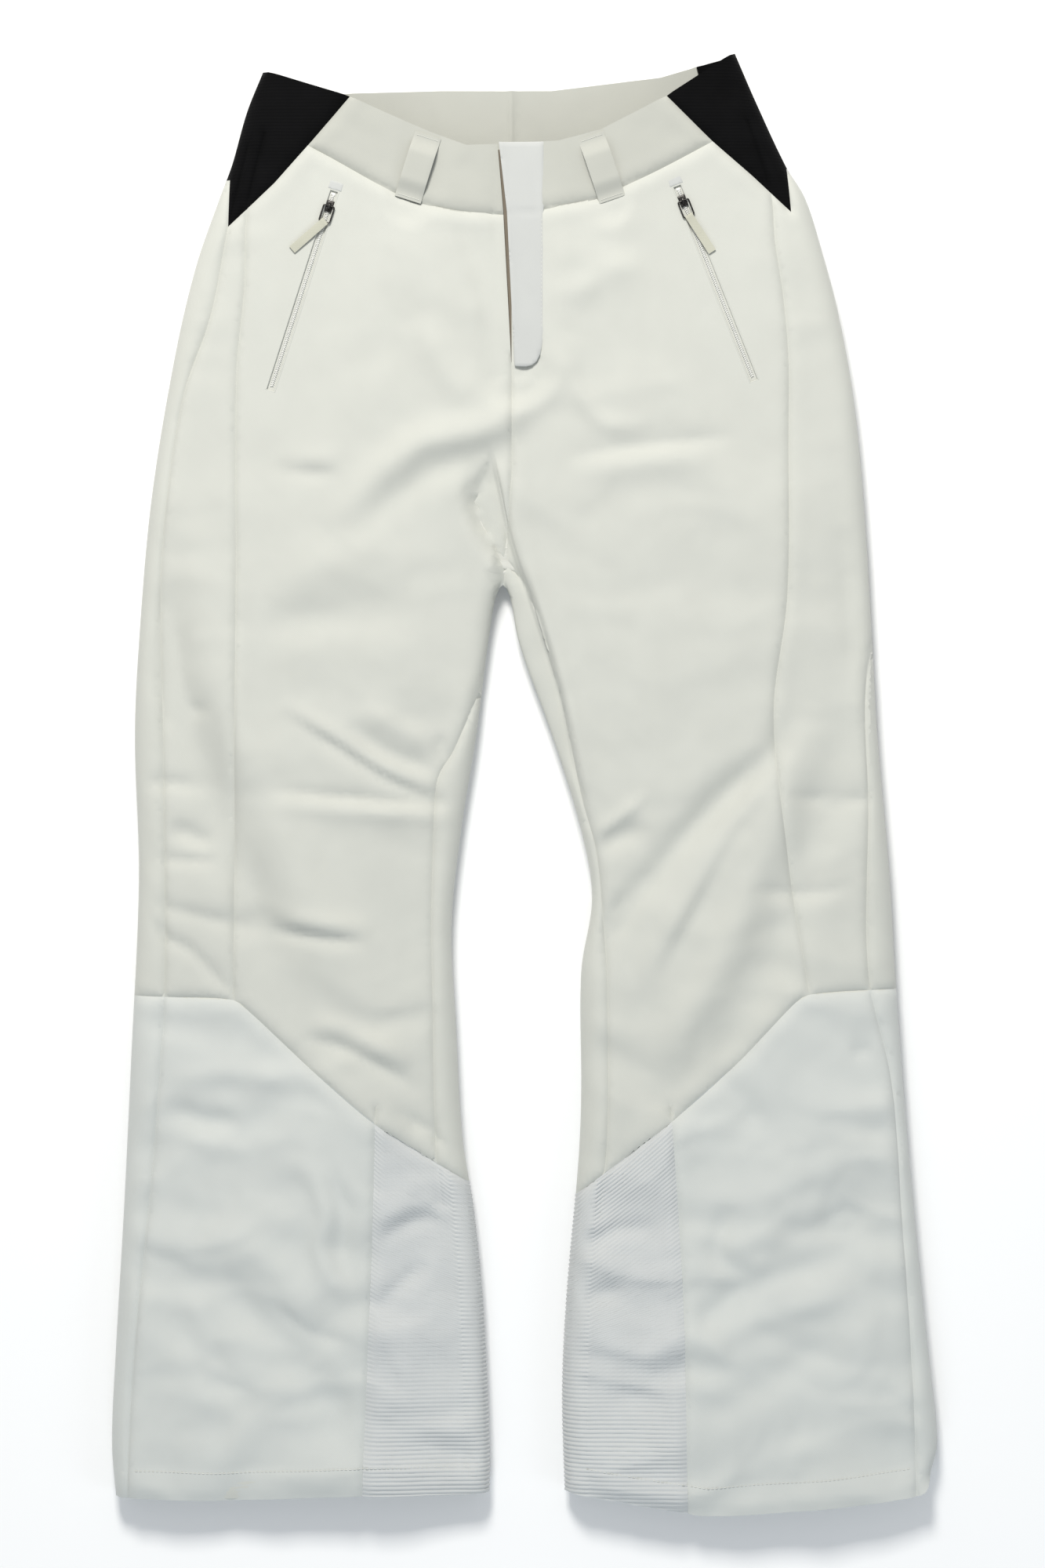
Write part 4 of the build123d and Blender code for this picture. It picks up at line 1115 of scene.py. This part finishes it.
def hem_facing(side):
    """The turned-up edge inside the hem, just inside the shell's two layers."""
    leg = LEGS[side]
    sign = leg["sign"]
    outer_line, inner_line = smooth_line(leg["outer"]), smooth_line(leg["inner"])
    rows, around = 7, 96
    angle = np.tile(2 * math.pi * np.arange(around) / around, rows)
    up = np.repeat(np.arange(rows) / (rows - 1), around)
    c, s = np.cos(angle), np.sin(angle)
    y = np.full(rows * around, -515.0)
    for _ in range(4):
        outer = x_on(outer_line, y) - sign * 3.2
        inner = x_on(inner_line, y) + sign * 3.2
        x = (outer + inner) / 2 + (outer - inner) / 2 * np.sign(c) * np.abs(c) ** 0.13
        y = y_on(leg["hem"], x) + 0.3 + (HEM_DEPTH - 0.5) * up
    plan = np.stack([x, y], 1)
    upper = front_height(plan, False) - CLOTH - 0.5
    lower = back_height(plan) + CLOTH + 0.4
    z = MID + np.where(s >= 0, upper - MID, lower - MID) * np.abs(s) ** 0.3
    obj = object_from(f"hem_facing_{side}_cloth", np.column_stack([plan, z]), grid_faces(rows, around, True))
    return finish_mesh(obj, 0.5, orient=True)


def open_pouch(obj, side):
    """Makes a closed slab a pouch of thin cloth, open under the zip."""
    leg = LEGS[side]
    bm = bmesh.new()
    bm.from_mesh(obj.data)
    centres = np.array([face.calc_center_median() for face in bm.faces]) / MM
    local = turned(centres[:, :2] - np.array(leg["pocket_top"]), (0, 0), -leg["pocket_turn"])
    mouth = (np.abs(local[:, 0]) < 4.6) & (local[:, 1] < 0) & (local[:, 1] > -ZIP_LENGTH) & (centres[:, 2] > 21)
    bm.faces.ensure_lookup_table()
    bmesh.ops.delete(bm, geom=[bm.faces[i] for i in np.flatnonzero(mouth)], context="FACES")
    bm.to_mesh(obj.data)
    bm.free()
    return finish_mesh(obj, 0.6)


def make_pocket(side):
    """Tape, coil, slider, pull, strap, lips, patch and bag of a pocket."""
    leg = LEGS[side]
    at, turn = leg["pocket_top"], leg["pocket_turn"]
    tape = slab(f"pocket_tape_{side}_weave", turned([(-11, 5), (-11, -160), (11, -160), (11, 5)], at, turn),
                THICK - 1.9, THICK - 1.35, 4.0, 0.3)
    place(tape, "zip_tape", [f"pocket_zip_tape_{side}"])
    verts, faces = coil_parts(-ZIP_LENGTH + 3.5, -3.5, 1.0, -1.35, -0.1)
    coil = solid(f"pocket_coil_{side}_loops", in_pocket(side, verts), faces)
    place(coil, "zip_coil", [f"pocket_zip_coil_{side}"])
    half = ZIP_SLOT / 2
    lines = [([(x, y) for y in np.linspace(0, -ZIP_LENGTH, 40)], 0.75) for x in (-half - 0.15, half + 0.15)]
    lines += [([(x, y) for x in np.linspace(-half, half, 6)], 0.6) for y in (0.2, -ZIP_LENGTH - 0.2)]
    lips = []
    for line, radius in lines:
        plan = turned(line, at, turn)
        lips.append(wire(np.column_stack([plan, front_height(plan, False) - 0.5]), radius, 8))
    place(solid(f"pocket_lips_{side}", *merged(lips)), "shell_cloth")
    patch = slab(f"pocket_patch_{side}_bonded", turned(rectangle(-5, 0.8, 5, 6.8), at, turn),
                 THICK - 0.2, THICK + 0.55, 1.5, 0.3)
    place(patch, "fly_cloth", [f"pocket_zip_patch_{side}"])
    stop = slab(f"pocket_stop_{side}_crimp", turned(rectangle(-1.6, -3.4, 1.6, -1.5), at, turn),
                THICK - 2.0, THICK - 0.6, 0.8, 0.25)
    place(stop, "zip_coil", [f"pocket_zip_stop_{side}"])
    bag_plan = [(-14, 4), (14, 4), (62, -20), (88, -120), (62, -196), (-14, -196)]
    bag = slab(f"pocket_bag_{side}_pouch", turned([(-leg["sign"] * x, y) for x, y in bag_plan], at, turn),
               18.2, 22.8, 4.5, 6.0)
    open_pouch(bag, side)
    place(bag, "lining", [f"pocket_bag_{side}"])
    make_slider(side)
    make_pull(side)


def rounded(points, radius, steps=5):
    """A closed outline with its corners rounded."""
    out = []
    n = len(points)
    for i in range(n):
        a, b, c = (np.array(points[(i + k) % n], float) for k in (-1, 0, 1))
        u, w = (a - b) / np.linalg.norm(a - b), (c - b) / np.linalg.norm(c - b)
        for k in range(steps + 1):
            t = k / steps
            out.append((1 - t) ** 2 * (b + u * radius) + 2 * t * (1 - t) * b + t**2 * (b + w * radius))
    return [tuple(p) for p in out]


def make_slider(side):
    """A moulded slider: a waisted body over the coil, and the arch for the pull."""
    body = rounded([(-3.0, -4.3), (3.0, -4.3), (2.5, -1.0), (3.1, 4.3), (-3.1, 4.3), (-2.5, -1.0)], 1.1, 4)
    levels = [(-1.2, 0.93), (-0.9, 1.0), (0.25, 1.0), (0.5, 0.93), (0.66, 0.8)]
    n, top = len(body), (len(levels) - 1) * len(body)
    verts = [(x * scale, y * scale - SLIDER_REST, z) for z, scale in levels for x, y in body]
    faces = grid_faces(len(levels), n, True)
    faces += [tuple(top + k for k in range(n)), tuple(range(n))[::-1]]
    arch = [(-2.2, 0.3), (-2.1, 1.8), (-1.5, 2.9), (-0.5, 3.35), (0.5, 3.35), (1.5, 2.9), (2.1, 1.8), (2.2, 0.3)]
    v, f = wire([(0, y - SLIDER_REST, z) for y, z in arch], 0.45, 8)
    v[:, 0] *= 2.1
    verts, faces = merged([(np.array(verts), faces), (v, f)])
    obj = solid(f"pocket_slider_{side}_cast", in_pocket(side, verts), faces)
    place(obj, "zip_metal", [f"pocket_slider_{side}"], body=f"pocket_slider_body_{side}")


def make_pull(side):
    """The wire pull, and its strap: one tape folded round the wire, two layers that meet beyond it."""
    leg = LEGS[side]
    body = f"pocket_pull_body_{side}"
    half, far = 4.1, -12.3
    loop = rounded([(-half, 0), (half, 0), (half, far), (-half, far)], 1.3, 6)
    verts, faces = wire([(x, y - SLIDER_REST, BAR_HEIGHT) for x, y in loop], 0.58, 10, True)
    obj = solid(f"pocket_pull_{side}_wire", in_pocket(side, verts), faces)
    place(obj, "zip_metal", [f"pocket_pull_{side}"], body=body)
    upper = [(-31.4, -0.1), (-24, 0.05), (-14, 0.25), (-5, 0.35), (-1.2, 0.75), (0.4, 0.98), (1.15, 0.6),
             (1.3, 0.0)]
    path = upper + [(y, -z) for y, z in upper[::-1][1:]]
    rows = []
    for y, z in path:
        drop = -0.55 * smoothstep(-y, 2, 30) + 0.25 * math.sin(max(0, -y - 4) * 0.16)
        for across in np.arange(-3.0, 3.5):
            rows.append((across, y, z + drop + (0.12 if abs(across) < 2.6 else 0.0)))
    rows = np.array(rows)
    turn = leg["strap_turn"] - leg["pocket_turn"]
    plan = turned(rows[:, :2], (0, 0), turn) + np.array([0, far - SLIDER_REST])
    verts = np.column_stack([plan, rows[:, 2] + BAR_HEIGHT])
    obj = object_from(f"pull_strap_{side}_tape", in_pocket(side, verts), grid_faces(len(path), 7))
    place(finish_mesh(obj, 0.45), "strap", [f"pull_strap_{side}"], body=body)


def make_front_loop(side):
    """A belt loop: a folded strip raised over the waistband, bar-tacked at both feet."""
    leg = LEGS[side]
    width, length = LOOP_SIZE
    gap, foot, rise = 4.0, 4.0, 9.0
    end, bend = length / 2, rise + 3
    stops = (-end, -end + foot, -end + foot + bend, end - foot - bend, end - foot, end)
    ys = np.concatenate([[-end]] + [np.linspace(a, b, count)[1:]
                                    for a, b, count in zip(stops, stops[1:], (5, 8, 18, 8, 5))])
    xs = np.linspace(-width / 2, width / 2, 13)
    verts = []
    for y in ys:
        up = smoothstep(end - foot + 0.5 - abs(y), 0, bend)
        for x in xs:
            roll = -0.35 * smoothstep(abs(x), width / 2 - 1.6, width / 2)
            seam = -0.25 * math.exp(-((abs(x) - width / 2 + 2.6) / 0.5) ** 2)
            verts.append((x, y, gap * up + LOOP_CLOTH + roll + seam + 0.3 * up * math.sin(y * 0.16)))
    verts = np.array(verts)
    plan = turned(verts[:, :2], leg["loop_at"], leg["loop_turn"])
    obj = object_from(f"front_belt_loop_{side}_strip", np.column_stack([plan, verts[:, 2] + THICK]),
                      grid_faces(len(ys), len(xs)))
    place(finish_mesh(obj, 1.0), "waist_cloth", [f"front_belt_loop_{side}"])
    for y in (-end + 2.2, end - 2.2):
        line = turned([(x, y) for x in np.linspace(-8.6, 8.6, 10)], leg["loop_at"], leg["loop_turn"])
        tack = stitches(f"loop_tack_{side}_{'low' if y < 0 else 'top'}", line,
                        lambda p: np.full(len(p), THICK + LOOP_CLOTH), 1.1, 1.0, 0.26)
        place(tack, "thread", slot="waist_cloth")


def make_back_loops():
    width, length = LOOP_SIZE
    for where, x in BACK_LOOPS.items():
        plan = rectangle(x - width / 2, BACK_LOOP_Y - length / 2, x + width / 2, BACK_LOOP_Y + length / 2)
        strip = slab(f"back_belt_loop_{where}_strip", plan, 0.0, LOOP_CLOTH, 4.0, 0.4)
        place(strip, "waist_cloth", [f"back_belt_loop_{where}"])


FLAP = [(-19, 473), (-13, 421.5), (-8.5, 330), (-7.4, 308.6), (-6.6, 307.6), (1, 307.3), (5.5, 308.4),
        (9.2, 311.5), (11.8, 317), (13.2, 325), (14.2, 334), (14.2, 473.4)]
FLAP_TOP = THICK + 2.2


def flap_shape(v):
    """The flap lifts a little at its free edge and is pressed in at its seams."""
    free = line_distance(v, np.array([(-19, 473), (-13, 421), (-7.4, 309)], float))[0]
    lift = 1.5 * np.exp(-free / 4) * smoothstep(v[:, 1], 315, 360)
    wave = 0.35 * ripples(v, 26, 2.2) * smoothstep(free, 0, 8)
    seam = -0.7 * np.exp(-((v[:, 1] - 421 - 0.1 * v[:, 0]) / 1.3) ** 2)
    crease = -0.5 * np.exp(-((v[:, 0] - 4 - (473 - v[:, 1]) * 0.155) / 3) ** 2) * smoothstep(v[:, 1], 420, 428)
    stitched = -0.4 * np.exp(-((v[:, 0] - 12.3) / 0.8) ** 2) * smoothstep(-v[:, 1], -424, -416)
    return lift + wave + seam + crease + stitched


def make_fly():
    # The underlap is coloured dark brown as painted shadow in the slit beside the flap.
    underlap = slab("fly_underlap_cloth", [(-20, 298), (20, 298), (26, 310), (26, 470), (-24, 468), (-24, 310)],
                    THICK - 3.6, THICK - 2.5, 5.0, 0.4)
    place(underlap, "underlap", ["fly_underlap"], "fly_cloth")
    tape = slab("fly_tape_weave", rectangle(-9.6, 306, 9.6, 420), THICK - 2.2, THICK - 1.7, 4.0, 0.2)
    place(tape, "zip_tape", ["fly_zip_tape"])
    coil = solid("fly_coil_loops", *coil_parts(309, 417, 0.9, THICK - 1.75, THICK - 0.95))
    place(coil, "zip_coil", ["fly_zip_coil"])
    flap = slab("fly_flap_cloth", FLAP, THICK + 0.55, FLAP_TOP, 3.0, 0.5, flap_shape)
    place(flap, "fly_cloth", ["fly_flap"], body=None)
    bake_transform(flap)
    seam = stitches("fly_j_stitch", smooth_line([(12.6, 418), (12.4, 360), (12.3, 335)], 2.0),
                    lambda p: flap_shape(p) + FLAP_TOP)
    place(seam, "thread", slot="fly_cloth")
    for node, slot in (("fly_slider", "zip_metal"), ("fly_pull", "zip_metal"), ("snap_sockets", "snap_metal"),
                       ("snap_studs", "snap_metal")):
        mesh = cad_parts[node].data
        for i in range(max(1, len(mesh.materials))):
            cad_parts[node].material_slots[i].material = MATERIALS[slot]


def make_hem_stitches():
    for side, leg in LEGS.items():
        low, high = sorted((leg["hem"][0][0], leg["hem"][-1][0]))
        xs = np.linspace(low + 14, high - 14, 90)
        line = np.stack([xs, y_on(leg["hem"], xs) + HEM_DEPTH], 1)
        thread = stitches(f"hem_stitch_{side}", line, lambda p: front_height(p) + 0.05)
        place(thread, "thread", slot="shell_cloth")


# ---------------------------------------------------------------- studio
def make_studio():
    size, below = 6.0, -0.0002
    mesh = bpy.data.meshes.new("floor")
    mesh.from_pydata([(x, y, below) for x, y in rectangle(-size, -size, size, size)], [], [(0, 1, 2, 3)])
    floor = bpy.data.objects.new("floor", mesh)
    bpy.context.scene.collection.objects.link(floor)
    material, _, shader = new_material("studio_floor")
    shader.inputs["Base Color"].default_value = (0.93, 0.93, 0.93, 1)
    shader.inputs["Roughness"].default_value = 0.9
    shader.inputs["Specular IOR Level"].default_value = 0.1
    mesh.materials.append(material)

    def area(name, at, aim, width, height, power, colour):
        light = bpy.data.lights.new(name, "AREA")
        light.shape = "RECTANGLE"
        light.size, light.size_y, light.energy, light.color = width, height, power, colour
        obj = bpy.data.objects.new(name, light)
        obj.location = at
        obj.rotation_euler = (Vector(aim) - Vector(at)).to_track_quat("-Z", "Y").to_euler()
        bpy.context.scene.collection.objects.link(obj)

    area("key", (-0.35, 1.95, 1.95), (0, 0.0, 0), 0.7, 0.7, 74, (1.0, 0.98, 0.94))
    area("fill_right", (1.7, -1.1, 1.3), (0, -0.2, 0), 1.0, 1.0, 5, (0.78, 0.89, 1.0))
    area("fill_foot", (-0.3, -2.2, 1.4), (0, -0.5, 0), 1.2, 1.2, 14, (0.8, 0.91, 1.0))
    world = bpy.data.worlds.new("studio")
    world.use_nodes = True
    background = world.node_tree.nodes["Background"]
    background.inputs["Color"].default_value = (0.97, 0.985, 1.0, 1)
    background.inputs["Strength"].default_value = 0.42
    bpy.context.scene.world = world

    camera = bpy.data.cameras.new("camera")
    camera.sensor_width = 36.0
    distance, picture_height = 2.8, 1.160
    camera.lens = 36.0 * distance / picture_height
    camera.clip_end = 50
    obj = bpy.data.objects.new("camera", camera)
    obj.location = (-0.0015, -0.0006, 0.020 + distance)
    bpy.context.scene.collection.objects.link(obj)
    bpy.context.scene.camera = obj
    bpy.context.scene.view_settings.view_transform = "Standard"


make_shell()
for side in LEGS:
    make_inner(side)
    make_pocket(side)
    make_front_loop(side)
make_back_loops()
make_fly()
make_hem_stitches()
make_studio()
declare_cloth()
